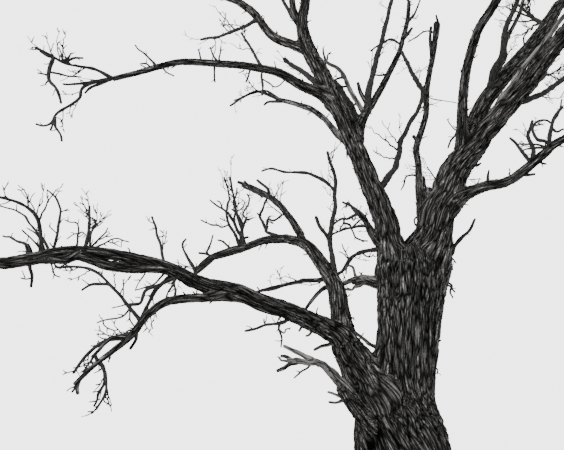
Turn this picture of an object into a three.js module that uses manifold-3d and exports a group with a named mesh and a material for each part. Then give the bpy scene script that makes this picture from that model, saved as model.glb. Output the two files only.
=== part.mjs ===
// A dead tree: a fluted trunk with a forked top, twisted boughs, and masses of bare twigs at their ends.
// Millimetres. The ground is z = 0 and the origin is the middle of the trunk's foot.
// The front of the tree faces -Y, so +X is to the right of someone who stands in front of it.

import * as THREE from "three";
import { mergeVertices } from "three/addons/utils/BufferGeometryUtils.js";
import Module from "manifold-3d";

const wasm = await Module();
wasm.setup();

// Gaps between pieces that touch on the real tree.
const clearance = 0.3;

// The trunk, as level sections: height, middle along X, width along X, depth along Y, and how many
// degrees the ridges and flutes have wound round it.
const trunkSections = [
  { height: 0, middle: 0, width: 1240, depth: 1120, turn: 0 },
  { height: 160, middle: 0, width: 1110, depth: 1010, turn: 8 },
  { height: 380, middle: 0, width: 1020, depth: 930, turn: 20 },
  { height: 540, middle: 0, width: 978, depth: 888, turn: 28 },
  { height: 700, middle: 0, width: 940, depth: 850, turn: 37 },
  { height: 900, middle: 0, width: 901, depth: 815, turn: 48 },
  { height: 1100, middle: -7, width: 874, depth: 780, turn: 59 },
  { height: 1260, middle: -5, width: 846, depth: 743, turn: 70 },
  { height: 1420, middle: -4, width: 780, depth: 700, turn: 81 },
  { height: 1620, middle: 14, width: 648, depth: 640, turn: 95 },
  { height: 1850, middle: 62, width: 596, depth: 600, turn: 106 },
  { height: 2120, middle: 128, width: 596, depth: 580, turn: 115 },
  { height: 2400, middle: 180, width: 640, depth: 600, turn: 120 },
  { height: 2700, middle: 231, width: 712, depth: 620, turn: 123 },
  { height: 2960, middle: 270, width: 708, depth: 600, turn: 126 },
  { height: 3080, middle: 265, width: 560, depth: 480, turn: 127 },
  { height: 3150, middle: 265, width: 300, depth: 260, turn: 128 },
];
const rootLobes = 5;
const rootLobeDepth = 0.16;
const rootLobeHeight = 420;
const rootLobeTurn = 0.6;
const fluteCount = 7;
const fluteDepth = 0.03;

// The main ridges of the trunk's bark, with a furrow between each two. Depth is a share of half the
// trunk's width, and each ridge and furrow has its own share of it and stands off its even place by
// up to half the scatter.
const ridgeCount = 18;
const ridgeDepth = 0.028;
const ridgeDepthShare = [0.5, 1];
const ridgeScatter = 0.6;
const ridgeSeed = 11;

// Limbs that leave the trunk or another limb. "at" is the share of the parent's length, or of the
// trunk's height, where the limb starts on the parent's middle line. "thick" is its thickness there.
// Each leg is [length, slope, lean, thickness at its end]. Slope turns from +X up to +Z, as seen from
// the front, and lean tips the leg away from the front. Lengths are in mm and angles in degrees.
const boughs = [
  { name: "low_left_bough", from: "trunk", at: 0.38, thick: 440,
    legs: [[530, 114, -6, 400], [310, 121, -15, 346], [200, 126, -15, 290], [120, 134, -18, 232],
      [290, 154, -18, 184], [380, 164, -22, 162], [410, 166, -23, 166], [390, 171, -27, 132],
      [380, 164, -25, 110], [390, 174, -24, 96], [360, 182, -19, 94], [310, 203, -19, 98],
      [260, 200, -30, 88], [510, 173, -29, 76], [530, 165, -28, 58]] },
  { name: "left_stem", from: "trunk", at: 0.81, thick: 370,
    legs: [[550, 102, 0, 300], [350, 100, 0, 272], [500, 107, -3, 230], [590, 108, -5, 202],
      [720, 111, -6, 190], [570, 113, -6, 170], [340, 104, -3, 142], [420, 84, -5, 112],
      [540, 84, -2, 90], [560, 99, 8, 66]] },
  { name: "right_stem", from: "trunk", at: 0.82, thick: 470,
    legs: [[660, 67, 0, 386], [380, 70, 0, 364], [410, 65, 0, 330], [330, 63, -2, 296],
      [420, 51, -7, 236], [380, 46, -12, 218], [410, 47, -20, 208], [360, 49, -26, 190],
      [360, 50, -26, 172], [1050, 50, -30, 110], [900, 45, -30, 70]] },
  { name: "drooping_bough", from: "low_left_bough", at: 0.414, thick: 92,
    legs: [[310, 198, -29, 80], [380, 198, -38, 72], [250, 226, -34, 66], [260, 249, -33, 58],
      [210, 240, -38, 42], [220, 235, -33, 36], [180, 241, -34, 30]] },
  { name: "arched_bough_rise", from: "low_left_bough", at: 0.2, thick: 200,
    legs: [[390, 94, 18, 180], [280, 92, 26, 176], [320, 112, 22, 148], [510, 116, 33, 130],
      [320, 144, 38, 108]] },
  { name: "arched_bough_fall", from: "arched_bough_rise", at: 1, thick: 106,
    legs: [[350, 168, 35, 98], [400, 184, 39, 88], [410, 185, 30, 62]] },
  { name: "bare_stub_limb", from: "trunk", at: 0.86, thick: 150,
    legs: [[470, 154, 28, 98], [230, 150, 51, 66], [260, 178, 52, 52], [280, 175, 46, 46],
      [340, 221, 48, 24]] },
  { name: "bare_low_limb", from: "trunk", at: 0.38, thick: 150,
    legs: [[610, 144, -27, 100], [240, 130, -30, 72], [210, 137, -34, 50], [150, 144, -33, 40],
      [200, 191, -38, 34], [210, 183, -41, 18]] },
  { name: "upper_left_bough", from: "left_stem", at: 0.475, thick: 160,
    legs: [[220, 140, -8, 140], [290, 164, -20, 118], [390, 164, -23, 92], [650, 190, -22, 76],
      [460, 199, -23, 66], [440, 221, -24, 56], [360, 227, -29, 48]] },
  { name: "upper_rear_bough", from: "left_stem", at: 0.64, thick: 122,
    legs: [[260, 142, 18, 108], [460, 131, 22, 106], [540, 113, 18, 104], [520, 120, 20, 96],
      [560, 129, 26, 66], [470, 119, 26, 50]] },
  { name: "peeled_limb", from: "left_stem", at: 0.35, thick: 104,
    legs: [[240, 118, 21, 84], [440, 111, 30, 76], [530, 108, 34, 66], [560, 120, 38, 58],
      [510, 131, 36, 50]] },
  { name: "left_rear_bough", from: "left_stem", at: 0.375, thick: 140,
    legs: [[460, 74, 14, 116], [450, 63, 19, 84], [730, 66, 20, 76], [780, 69, 21, 72],
      [850, 74, 19, 66], [620, 78, 19, 58]] },
  { name: "front_bough", from: "left_stem", at: 0.78, thick: 90,
    legs: [[560, 105, -43, 78], [620, 127, -58, 64], [600, 150, -66, 50]] },
  { name: "centre_limb", from: "right_stem", at: 0.147, thick: 120,
    legs: [[470, 99, 16, 92], [630, 82, 20, 80], [390, 83, 21, 86], [610, 69, 19, 80],
      [750, 77, 19, 78], [1020, 74, 17, 74], [800, 76, 16, 108]] },
  { name: "right_low_bough", from: "right_stem", at: 0.187, thick: 198,
    legs: [[320, 35, -15, 142], [250, 18, -24, 120], [230, -1, -32, 106], [230, 25, -37, 100],
      [230, 32, -45, 92], [210, 28, -49, 80], [690, 16, -37, 66], [640, 23, -35, 46]] },
  { name: "right_rear_bough", from: "right_stem", at: 0.335, thick: 226,
    legs: [[700, 67, 12, 190], [610, 58, 15, 192], [930, 52, 18, 196], [860, 52, 16, 198],
      [1230, 56, 16, 160], [970, 46, 28, 90]] },
  { name: "right_front_bough", from: "right_stem", at: 0.33, thick: 150,
    legs: [[330, 90, -14, 126], [360, 87, -20, 106], [380, 84, -28, 100], [390, 74, -35, 98],
      [340, 51, -43, 92], [960, 58, -35, 70], [720, 58, -37, 48]] },
  { name: "back_right_bough", from: "trunk", at: 0.8, thick: 200,
    legs: [[850, 74, 22, 156], [870, 65, 30, 138], [1170, 59, 28, 130], [1270, 56, 23, 116],
      [1200, 50, 22, 90], [700, 45, 20, 70]] },
  { name: "back_bough", from: "trunk", at: 0.72, thick: 200,
    legs: [[770, 74, 41, 156], [1080, 50, 57, 132], [1230, 56, 54, 106], [1200, 63, 42, 80],
      [960, 66, 25, 56]] },
];

// Masses of bare twigs. Each has one stem, laid out as the boughs are; "tip" is the stem's thickness at
// its end, "twigs" how many twigs leave it, "twig" the length of the longest, and "rise" how strongly
// twigs turn up, or down where it is below 0.
const masses = [
  { name: "low_left_tip_twigs", from: "low_left_bough", at: 1, thick: 56, tip: 14, twigs: 11, twig: 900,
    rise: 0.5, legs: [[560, 158, -20], [520, 186, -30]] },
  { name: "low_left_outer_twigs", from: "low_left_bough", at: 0.89, thick: 50, tip: 12, twigs: 9,
    twig: 720, rise: 0.5, legs: [[480, 215, -4], [460, 200, 14]] },
  { name: "low_left_fan_twigs", from: "low_left_bough", at: 0.738, thick: 48, tip: 14, twigs: 8,
    twig: 480, rise: 0.6, legs: [[300, 100, -12], [180, 138, -34], [260, 172, -36]] },
  { name: "low_left_upright_twigs", from: "low_left_bough", at: 0.676, thick: 46, tip: 14, twigs: 8,
    twig: 420, rise: 0.8, legs: [[260, 95, 20], [300, 104, 20]] },
  { name: "low_left_inner_twigs", from: "low_left_bough", at: 0.547, thick: 42, tip: 12, twigs: 5,
    twig: 260, rise: 0.6, legs: [[380, 109, 20], [380, 113, 29]] },
  { name: "low_left_under_twigs", from: "low_left_bough", at: 0.531, thick: 50, tip: 12, twigs: 8,
    twig: 320, rise: -0.2, legs: [[220, 225, 12], [210, 241, 16], [250, 236, 10], [180, 195, -6]] },
  { name: "drooping_hanging_twigs", from: "drooping_bough", at: 0.86, thick: 34, tip: 12, twigs: 7,
    twig: 200, rise: -0.6, legs: [[110, 298, 0], [130, 284, -22], [140, 256, -20]] },
  { name: "drooping_side_twigs", from: "drooping_bough", at: 0.66, thick: 46, tip: 12, twigs: 7,
    twig: 300, rise: -0.2, legs: [[220, 190, 15], [180, 210, 17], [180, 238, 4]] },
  { name: "drooping_upper_twigs", from: "drooping_bough", at: 0.58, thick: 42, tip: 12, twigs: 8,
    twig: 300, rise: 0.3, legs: [[250, 131, -20], [320, 140, -16], [270, 179, -10]] },
  { name: "arched_tip_twigs", from: "arched_bough_fall", at: 1, thick: 60, tip: 14, twigs: 9, twig: 480,
    rise: 0.3, legs: [[320, 215, 26], [380, 186, 24]] },
  { name: "arched_bush_twigs", from: "arched_bough_fall", at: 0.58, thick: 62, tip: 14, twigs: 11,
    twig: 500, rise: 1, legs: [[300, 104, -10], [350, 104, -8], [320, 101, -9]] },
  { name: "arched_top_twigs", from: "arched_bough_rise", at: 0.82, thick: 90, tip: 18, twigs: 8,
    twig: 620, rise: 0.5, legs: [[520, 107, 35], [610, 117, 35], [480, 130, 38], [500, 132, 39]] },
  { name: "arched_upright_twigs", from: "arched_bough_rise", at: 0.38, thick: 92, tip: 16, twigs: 8,
    twig: 620, rise: 0.6, legs: [[420, 91, 25], [290, 91, 24], [630, 81, 27], [590, 84, 25],
      [640, 96, 25]] },
  { name: "fork_rear_twigs", from: "left_stem", at: 0.12, thick: 76, tip: 16, twigs: 9, twig: 560,
    rise: 0.3, legs: [[330, 140, 58], [410, 166, 58], [360, 217, 57], [590, 176, 42], [680, 179, 38]] },
  { name: "fork_curl_twigs", from: "left_stem", at: 0.15, thick: 70, tip: 14, twigs: 5, twig: 300,
    rise: 0.5, legs: [[330, 128, 46], [380, 102, 39], [420, 116, 38]] },
  { name: "cross_twigs", from: "left_stem", at: 0.25, thick: 88, tip: 18, twigs: 10, twig: 700,
    rise: 0.7, legs: [[330, 59, 29], [620, 62, 35], [880, 71, 31], [920, 64, 29], [880, 69, 25]] },
  { name: "upper_left_tip_twigs", from: "upper_left_bough", at: 1, thick: 46, tip: 14, twigs: 9,
    twig: 480, rise: 0.4, legs: [[220, 168, -28], [220, 193, -33], [300, 180, -44]] },
  { name: "upper_left_hanging_twigs", from: "upper_left_bough", at: 0.93, thick: 46, tip: 12,
    twigs: 8, twig: 340, rise: -0.2, legs: [[430, 194, 4], [230, 262, -16], [280, 238, -18],
      [220, 268, -12]] },
  { name: "upper_left_middle_twigs", from: "upper_left_bough", at: 0.36, thick: 54, tip: 14, twigs: 7,
    twig: 420, rise: 0.6, legs: [[480, 109, 17], [420, 111, 21]] },
  { name: "upper_rear_tip_twigs", from: "upper_rear_bough", at: 1, thick: 48, tip: 14, twigs: 12,
    twig: 1150, rise: 0.6, legs: [[640, 128, 22], [620, 108, 30]] },
  { name: "upper_rear_side_twigs", from: "upper_rear_bough", at: 0.42, thick: 76, tip: 16, twigs: 9,
    twig: 600, rise: 0.4, legs: [[340, 168, 39], [480, 160, 41], [420, 150, 36]] },
  { name: "left_fork_twigs", from: "left_stem", at: 0.52, thick: 90, tip: 16, twigs: 7, twig: 460,
    rise: 0.6, legs: [[330, 115, 32], [520, 117, 29], [520, 118, 29]] },
  { name: "peeled_tip_twigs", from: "peeled_limb", at: 1, thick: 48, tip: 14, twigs: 9, twig: 560,
    rise: 0.4, legs: [[540, 128, 28], [620, 168, 38]] },
  { name: "left_rear_tip_twigs", from: "left_rear_bough", at: 1, thick: 56, tip: 14, twigs: 11,
    twig: 1000, rise: 0.7, legs: [[560, 92, 16], [520, 80, 8]] },
  { name: "left_rear_near_twigs", from: "left_rear_bough", at: 0.16, thick: 90, tip: 16, twigs: 8,
    twig: 480, rise: 0.8, legs: [[610, 79, 10], [870, 74, 8], [900, 76, 10]] },
  { name: "left_rear_bare_twigs", from: "left_rear_bough", at: 0.085, thick: 90, tip: 16, twigs: 6,
    twig: 380, rise: 0.6, legs: [[540, 99, 24], [520, 103, 26], [470, 116, 31]] },
  { name: "left_top_twigs", from: "left_stem", at: 1, thick: 64, tip: 14, twigs: 12, twig: 1100,
    rise: 0.7, legs: [[620, 106, 6], [600, 92, -8]] },
  { name: "left_side_twigs", from: "left_stem", at: 0.86, thick: 70, tip: 14, twigs: 11, twig: 1050,
    rise: 0.5, legs: [[640, 46, -26], [620, 64, -12]] },
  { name: "front_tip_twigs", from: "front_bough", at: 1, thick: 48, tip: 14, twigs: 12, twig: 1100,
    rise: 0.4, legs: [[640, 120, -58], [600, 92, -46]] },
  { name: "centre_side_twigs", from: "centre_limb", at: 0.57, thick: 80, tip: 16, twigs: 8, twig: 460,
    rise: 0.7, legs: [[720, 99, 22], [640, 93, 24]] },
  { name: "right_front_tip_twigs", from: "right_front_bough", at: 1, thick: 46, tip: 14, twigs: 12,
    twig: 1150, rise: 0.5, legs: [[640, 50, -34], [600, 70, -48]] },
  { name: "right_rear_near_twigs", from: "right_rear_bough", at: 0.235, thick: 96, tip: 16, twigs: 8,
    twig: 440, rise: 0.6, legs: [[260, 92, -44], [240, 60, -30], [340, 79, -24], [420, 66, -14]] },
  { name: "right_rear_tip_twigs", from: "right_rear_bough", at: 1, thick: 86, tip: 16, twigs: 12,
    twig: 1250, rise: 0.5, legs: [[700, 50, 22], [660, 34, 6]] },
  { name: "right_rear_side_twigs", from: "right_rear_bough", at: 0.66, thick: 96, tip: 16, twigs: 12,
    twig: 1100, rise: 0.5, legs: [[700, 80, 36], [680, 96, 26]] },
  { name: "right_middle_tip_twigs", from: "right_stem", at: 1, thick: 66, tip: 14, twigs: 12,
    twig: 1100, rise: 0.4, legs: [[640, 30, -26], [600, 48, -40]] },
  { name: "right_middle_side_twigs", from: "right_stem", at: 0.475, thick: 90, tip: 16,
    twigs: 8, twig: 460, rise: 0.5, legs: [[360, 30, 16], [360, 32, 15], [560, 40, 12]] },
  { name: "right_low_tip_twigs", from: "right_low_bough", at: 1, thick: 44, tip: 14, twigs: 12,
    twig: 1000, rise: 0.3, legs: [[620, 12, -30], [560, 34, -20]] },
  { name: "right_low_curled_twigs", from: "right_low_bough", at: 0.37, thick: 72, tip: 12, twigs: 9,
    twig: 380, rise: 0.4, legs: [[270, 56, 14], [310, 84, 17], [340, 62, 22]] },
  { name: "back_right_tip_twigs", from: "back_right_bough", at: 1, thick: 66, tip: 14, twigs: 12,
    twig: 1200, rise: 0.5, legs: [[700, 38, 14], [640, 60, 32]] },
  { name: "back_tip_twigs", from: "back_bough", at: 1, thick: 54, tip: 14, twigs: 12, twig: 1200,
    rise: 0.4, legs: [[680, 82, 34], [640, 104, 22]] },
];

// The rule that twigs grow by. Each twig leaves its parent at a share of the parent's length, turned
// round it by the golden angle from the twig before, and has two legs with a bend between them.
const goldenAngle = THREE.MathUtils.degToRad(137.5);
const goldenShare = 0.618034;
const firstTwigShare = 0.22;
const twigTurnScatter = 0.8;
const twigAngle = [34, 66];
const twigLengthShare = [0.55, 1];
const twigTaperOff = 0.4;
const twigRise = 0.3;
const twigBend = 1;
const carriesSideTwig = 690;
const triesPerTwig = 4;
const sideTwigShare = 0.55;
const twigThickShare = 0.62;
const twigThickPerLength = 0.045;
const twigMiddleShare = 0.7;
const thinnestTwig = 12;
const twigKeepOff = 26;
const lowestTwig = 700;

// How courses and sections are stepped.
const stepsPerLeg = 2;
const massStemSides = 4;
const twigSides = 3;
const smallestEdge = 0.1;
const nearlyUpright = 0.3;
const collarSwell = 0.36;
const barkColour = 0x6d6a66;
const bareWoodColour = 0x9a9690;
const twigColour = 0x5c5955;
const bareWoodLimbs = ["peeled_limb", "bare_stub_limb", "bare_low_limb"];

// Numbers that the seeded draws are stirred with.
const mixers = [0x9e3779b1, 0x85ebca6b, 0xc2b2ae35];
const wordRange = 2 ** 32;
const childSeedStart = 7000;
const drawsPerTwig = 5;

// A repeatable draw between 0 and 1 from a seed and a count.
function draw(seed, count) {
  return mixed(seed, count) / wordRange;
}

// The seed of a child, from its parent's seed and its place among the children.
function childSeed(seed, index) {
  return mixed(seed, index + childSeedStart);
}

// Two whole numbers stirred into one of 32 bits.
function mixed(seed, count) {
  let word = Math.imul(seed ^ Math.imul(count + 1, mixers[0]), mixers[1]) >>> 0;
  word = Math.imul(word ^ (word >>> 13), mixers[2]) >>> 0;
  return (word ^ (word >>> 16)) >>> 0;
}

function within([low, high], share) {
  return low + (high - low) * share;
}

// The unit direction of a leg.
function legDirection(slope, lean) {
  const up = THREE.MathUtils.degToRad(slope);
  const away = THREE.MathUtils.degToRad(lean);
  return new THREE.Vector3(
    Math.cos(up) * Math.cos(away), Math.sin(away), Math.sin(up) * Math.cos(away));
}

// A course is a limb's middle line, as points with the thickness and the length run at each.
function courseThrough(joints, thicknesses, steps = stepsPerLeg) {
  const curve = new THREE.CatmullRomCurve3(joints, false, "catmullrom", 0.5);
  const legCount = joints.length - 1;
  const course = [];
  let run = 0;
  for (let step = 0; step <= legCount * steps; step += 1) {
    const leg = Math.min(Math.floor(step / steps), legCount - 1);
    const share = step / steps - leg;
    const point = curve.getPoint(step / (legCount * steps));
    if (step > 0) {
      run += point.distanceTo(course[step - 1].point);
    }
    const thick = THREE.MathUtils.lerp(thicknesses[leg], thicknesses[leg + 1], share);
    course.push({ point, thick, run });
  }
  return course;
}

// The place on a course at a share of its length: point, thickness and direction.
function placeOn(course, share) {
  const run = course[course.length - 1].run * share;
  let index = 1;
  while (index < course.length - 1 && course[index].run < run) {
    index += 1;
  }
  const before = course[index - 1];
  const after = course[index];
  const mix = (run - before.run) / (after.run - before.run);
  return {
    point: before.point.clone().lerp(after.point, mix),
    thick: THREE.MathUtils.lerp(before.thick, after.thick, mix),
    direction: after.point.clone().sub(before.point).normalize(),
  };
}

// The course of a limb or of a mass's stem. One that goes on from its parent's end starts a clearance
// beyond it; any other starts on the parent's middle line, inside the parent.
function limbCourse(limb, parentCourse) {
  const foot = placeOn(parentCourse, limb.at);
  const joints = [foot.point.clone()];
  if (limb.at === 1) {
    joints[0].addScaledVector(foot.direction, clearance);
  }
  const thicknesses = [limb.thick];
  const squareTo = limb.at === 1 ? foot.direction : undefined;
  limb.legs.forEach(([length, slope, lean, thick], index) => {
    const last = joints[joints.length - 1];
    joints.push(last.clone().addScaledVector(legDirection(slope, lean), length));
    const share = (index + 1) / limb.legs.length;
    thicknesses.push(thick ?? THREE.MathUtils.lerp(limb.thick, limb.tip, share));
  });
  const course = courseThrough(joints, thicknesses);
  course[0].squareTo = squareTo;
  return course;
}

// A closed mesh from a cylinder whose rings are moved along a course. "grow" makes it that much fatter
// and longer at both ends, for cutting its neighbours clear.
function tubeGeometry(course, sides, swellRun, grow = 0) {
  const rings = course.length - 1;
  const pointed = course[rings].thick === 0;
  const geometry = new THREE.CylinderGeometry(pointed ? 0 : 1, 1, 1, sides, rings, false);
  const frames = ringFrames(course);
  const position = geometry.attributes.position;
  for (let vertex = 0; vertex < position.count; vertex += 1) {
    const ring = Math.round((position.getY(vertex) + 0.5) * rings);
    const { point, thick, run } = course[ring];
    const { across, over, along } = frames[ring];
    const beyond = ring === 0 ? -grow : Number(ring === rings) * grow;
    const radius = (thick / 2) * (1 + collar(run, swellRun, thick)) + grow;
    const onRing = new THREE.Vector2(position.getX(vertex), position.getZ(vertex));
    onRing.setLength(radius);
    const place = point.clone()
      .addScaledVector(along, beyond)
      .addScaledVector(across, onRing.x)
      .addScaledVector(over, onRing.y);
    position.setXYZ(vertex, place.x, place.y, place.z);
  }
  return geometry;
}

// How much a limb swells where it leaves its parent, whose skin is "swellRun" along the limb. A limb
// that is nearly as thick as its parent hardly swells.
function collar(run, swellRun, thick) {
  if (swellRun === 0) {
    return 0;
  }
  const thinner = Math.max(0, 1 - thick / (2 * swellRun));
  return collarSwell * thinner * Math.exp(-((Math.max(0, run - swellRun) / thick) ** 2));
}

// Two directions square to the course at each of its points, carried along it without twisting.
function ringFrames(course) {
  const tangents = course.map((_, index) => {
    const before = course[Math.max(index - 1, 0)].point;
    const after = course[Math.min(index + 1, course.length - 1)].point;
    return course[index].squareTo ?? after.clone().sub(before).normalize();
  });
  const across = new THREE.Vector3(0, 1, 0).cross(tangents[0]);
  if (across.length() < nearlyUpright) {
    across.set(1, 0, 0).cross(tangents[0]);
  }
  return tangents.map((tangent) => {
    across.addScaledVector(tangent, -across.dot(tangent)).normalize();
    const over = across.clone().cross(tangent).normalize();
    return { across: across.clone(), over, along: tangent };
  });
}

function solidFrom(geometry) {
  const bare = geometry.clone();
  bare.deleteAttribute("normal");
  bare.deleteAttribute("uv");
  const merged = mergeVertices(bare);
  return new wasm.Manifold(new wasm.Mesh({
    numProp: 3,
    vertProperties: Float32Array.from(merged.attributes.position.array),
    triVerts: Uint32Array.from(merged.index.array),
  }));
}

function geometryFrom(solid) {
  const { vertProperties, triVerts } = solid.getMesh();
  const geometry = new THREE.BufferGeometry();
  geometry.setAttribute("position", new THREE.BufferAttribute(vertProperties, 3));
  geometry.setIndex(new THREE.BufferAttribute(triVerts, 1));
  geometry.computeVertexNormals();
  return geometry;
}

// The largest of a solid's separate pieces.
function largestPiece(solid) {
  return solid.decompose().reduce((best, piece) => (piece.volume() > best.volume() ? piece : best));
}

function boxesMeet(one, other) {
  const a = one.boundingBox();
  const b = other.boundingBox();
  return [0, 1, 2].every((axis) => a.min[axis] <= b.max[axis] && b.min[axis] <= a.max[axis]);
}

// A solid cut clear of each neighbour that it touches. The neighbours are given a clearance fatter.
function cutClear(solid, neighbours) {
  let cut = solid;
  for (const neighbour of neighbours) {
    if (boxesMeet(cut, neighbour)) {
      cut = cut.subtract(neighbour);
    }
  }
  return largestPiece(cut.asOriginal().simplify(smallestEdge));
}

// Crests and furrows of bark by turns round the trunk's foot, each at its angle and with its rise.
function barkRidges() {
  const sides = 2 * ridgeCount;
  return Array.from({ length: sides }, (_, side) => {
    const offPlace = ridgeScatter * (draw(ridgeSeed, side) - 0.5);
    const rise = ridgeDepth * within(ridgeDepthShare, draw(ridgeSeed, side + sides));
    return {
      angle: (side + offPlace) * 2 * Math.PI / sides,
      rise: side % 2 === 0 ? rise : -rise,
    };
  });
}

// The trunk's outline at an angle round it, as a share of its half width: lobes that run out to the
// roots near the ground, and shallow flutes that wind up it.
function trunkOutline(angle, height, turn) {
  const lobes = rootLobeDepth * Math.exp(-height / rootLobeHeight)
    * Math.cos(rootLobes * angle + rootLobeTurn);
  const flutes = fluteDepth * Math.cos(fluteCount * (angle + turn));
  return 1 + lobes + flutes;
}

// The trunk has a corner for each crest and furrow of its bark, and its edges wind up it with them.
function trunkGeometry(grow = 0) {
  const rings = trunkSections.length - 1;
  const ridges = barkRidges();
  const geometry = new THREE.CylinderGeometry(1, 1, 1, ridges.length, rings, false);
  const position = geometry.attributes.position;
  for (let vertex = 0; vertex < position.count; vertex += 1) {
    const ring = Math.round((position.getY(vertex) + 0.5) * rings);
    const section = trunkSections[ring];
    const round = Math.atan2(position.getX(vertex), position.getZ(vertex)) / (2 * Math.PI) + 1;
    const ridge = ridges[Math.round(round * ridges.length) % ridges.length];
    const fromMiddle = Math.hypot(position.getX(vertex), position.getZ(vertex));
    const turn = THREE.MathUtils.degToRad(section.turn);
    const angle = ridge.angle - turn;
    const outline = trunkOutline(angle, section.height, turn) + ridge.rise;
    position.setXYZ(
      vertex,
      section.middle + Math.cos(angle) * fromMiddle * (outline * section.width / 2 + grow),
      Math.sin(angle) * fromMiddle * (outline * section.depth / 2 + grow),
      section.height + (ring > rings - 3 ? grow : 0));
  }
  return geometry;
}

// The trunk's middle line, so that limbs can start on it.
function trunkCourse() {
  return trunkSections.map(({ height, middle, width }) => (
    { point: new THREE.Vector3(middle, 0, height), thick: width, run: height }));
}

function sidesFor(thick) {
  if (thick > 300) {
    return 10;
  }
  return thick > 110 ? 8 : 6;
}

// How far a point is from the skin of a limb.
function gapToCourse(point, course) {
  let nearest = Infinity;
  const segment = new THREE.Line3();
  const foot = new THREE.Vector3();
  for (let index = 1; index < course.length; index += 1) {
    segment.set(course[index - 1].point, course[index].point);
    segment.closestPointToPoint(point, true, foot);
    const thick = Math.max(course[index - 1].thick, course[index].thick);
    nearest = Math.min(nearest, foot.distanceTo(point) - thick / 2);
  }
  return nearest;
}

// A twig may stand only where it is nearer to its own stem than to any other stem, off every limb,
// and well above the ground.
function hasRoom(course, ownStem, otherStems, limbs) {
  return course.slice(1).every(({ point, thick }) => {
    const keepOff = thick + twigKeepOff;
    const own = gapToCourse(point, ownStem);
    return point.z > lowestTwig
      && limbs.every((limb) => gapToCourse(point, limb) > keepOff)
      && otherStems.every((stem) => gapToCourse(point, stem) > own + keepOff);
  });
}

// One twig's course: its foot on the parent, a leg out at its own angle, and a leg that bends on.
function twigCourse(parent, index, seed, longest, rise) {
  const [angleDraw, lengthDraw, ...bendDraws] = Array.from(
    { length: drawsPerTwig }, (_, count) => draw(seed, index * drawsPerTwig + count + 2));
  const share = firstTwigShare + (1 - firstTwigShare) * ((index * goldenShare + draw(seed, 0)) % 1);
  const foot = placeOn(parent, share);
  const turn = goldenAngle * index + draw(seed, 1) * twigTurnScatter;
  const [{ across, over }] = ringFrames([foot, { point: foot.point.clone().add(foot.direction) }]);
  const side = across.multiplyScalar(Math.cos(turn)).addScaledVector(over, Math.sin(turn));
  const angle = THREE.MathUtils.degToRad(within(twigAngle, angleDraw));
  const direction = foot.direction.clone().multiplyScalar(Math.cos(angle))
    .addScaledVector(side, Math.sin(angle));
  direction.z += rise * twigRise;
  direction.normalize();
  const bend = new THREE.Vector3(...bendDraws).subScalar(0.5).multiplyScalar(twigBend);
  const onward = direction.clone().add(bend);
  onward.z += rise * twigRise;
  onward.normalize();
  const halfLength = longest * within(twigLengthShare, lengthDraw) * (1 - twigTaperOff * share) / 2;
  const thick = Math.max(
    Math.min(foot.thick * twigThickShare, 2 * halfLength * twigThickPerLength), thinnestTwig);
  const middle = foot.point.clone().addScaledVector(direction, halfLength);
  const tip = middle.clone().addScaledVector(onward, halfLength);
  return courseThrough([foot.point, middle, tip], [thick, thick * twigMiddleShare, 0], 1);
}

// The twigs of a mass: those that leave its stem, and the side twigs that leave them.
function massTwigs(mass, stem, seed, otherStems, limbs) {
  const kept = [];
  for (let index = 0; kept.length < mass.twigs && index < mass.twigs * triesPerTwig; index += 1) {
    const twig = twigCourse(stem, index, seed, mass.twig, mass.rise);
    if (hasRoom(twig, stem, otherStems, limbs)) {
      kept.push({ course: twig, seed: childSeed(seed, index) });
    }
  }
  const sideTwigs = kept
    .filter(({ course }) => course.at(-1).run > carriesSideTwig)
    .map(({ course, seed: ownSeed }) => twigCourse(course, 0, ownSeed, mass.twig * sideTwigShare, mass.rise));
  return [
    ...kept.map(({ course }) => course),
    ...sideTwigs.filter((twig) => hasRoom(twig, stem, otherStems, limbs)),
  ];
}

function namedMesh(name, solid, colour) {
  const material = new THREE.MeshStandardMaterial({ color: colour, roughness: 0.95, metalness: 0 });
  const mesh = new THREE.Mesh(geometryFrom(solid), material);
  mesh.name = name;
  return mesh;
}

// Builds the trunk, then each bough cut clear of what stands before it, then the masses.
function buildTree() {
  const tree = new THREE.Group();
  const courses = new Map([["trunk", trunkCourse()]]);
  const cutters = new Map([["trunk", solidFrom(trunkGeometry(clearance))]]);
  const cuttersFor = ({ from, at }) => (
    [...cutters].filter(([name]) => at < 1 || name !== from).map(([, cutter]) => cutter));
  tree.add(namedMesh("trunk", solidFrom(trunkGeometry()), barkColour));

  for (const bough of boughs) {
    const parent = courses.get(bough.from);
    const course = limbCourse(bough, parent);
    courses.set(bough.name, course);
    const swellRun = bough.at === 1 ? 0 : placeOn(parent, bough.at).thick / 2;
    const sides = sidesFor(bough.thick);
    const solid = cutClear(solidFrom(tubeGeometry(course, sides, swellRun)), cuttersFor(bough));
    cutters.set(bough.name, solidFrom(tubeGeometry(course, sides, swellRun, clearance)));
    const colour = bareWoodLimbs.includes(bough.name) ? bareWoodColour : barkColour;
    tree.add(namedMesh(bough.name, solid, colour));
  }

  const limbs = [...courses.values()];
  const stems = masses.map((mass) => limbCourse(mass, courses.get(mass.from)));
  masses.forEach((mass, place) => {
    const stem = stems[place];
    const otherStems = stems.filter((other) => other !== stem);
    const swellRun = mass.at === 1 ? 0 : placeOn(courses.get(mass.from), mass.at).thick / 2;
    const stemSolid = solidFrom(tubeGeometry(stem, massStemSides, swellRun));
    const twigs = massTwigs(mass, stem, childSeed(place, 1), otherStems, limbs);
    const solid = twigs.reduce(
      (whole, twig) => whole.add(solidFrom(tubeGeometry(twig, twigSides, 0))), stemSolid);
    tree.add(namedMesh(mass.name, cutClear(solid, cuttersFor(mass)), twigColour));
  });
  return tree;
}

const group = buildTree();

export default group;
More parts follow.
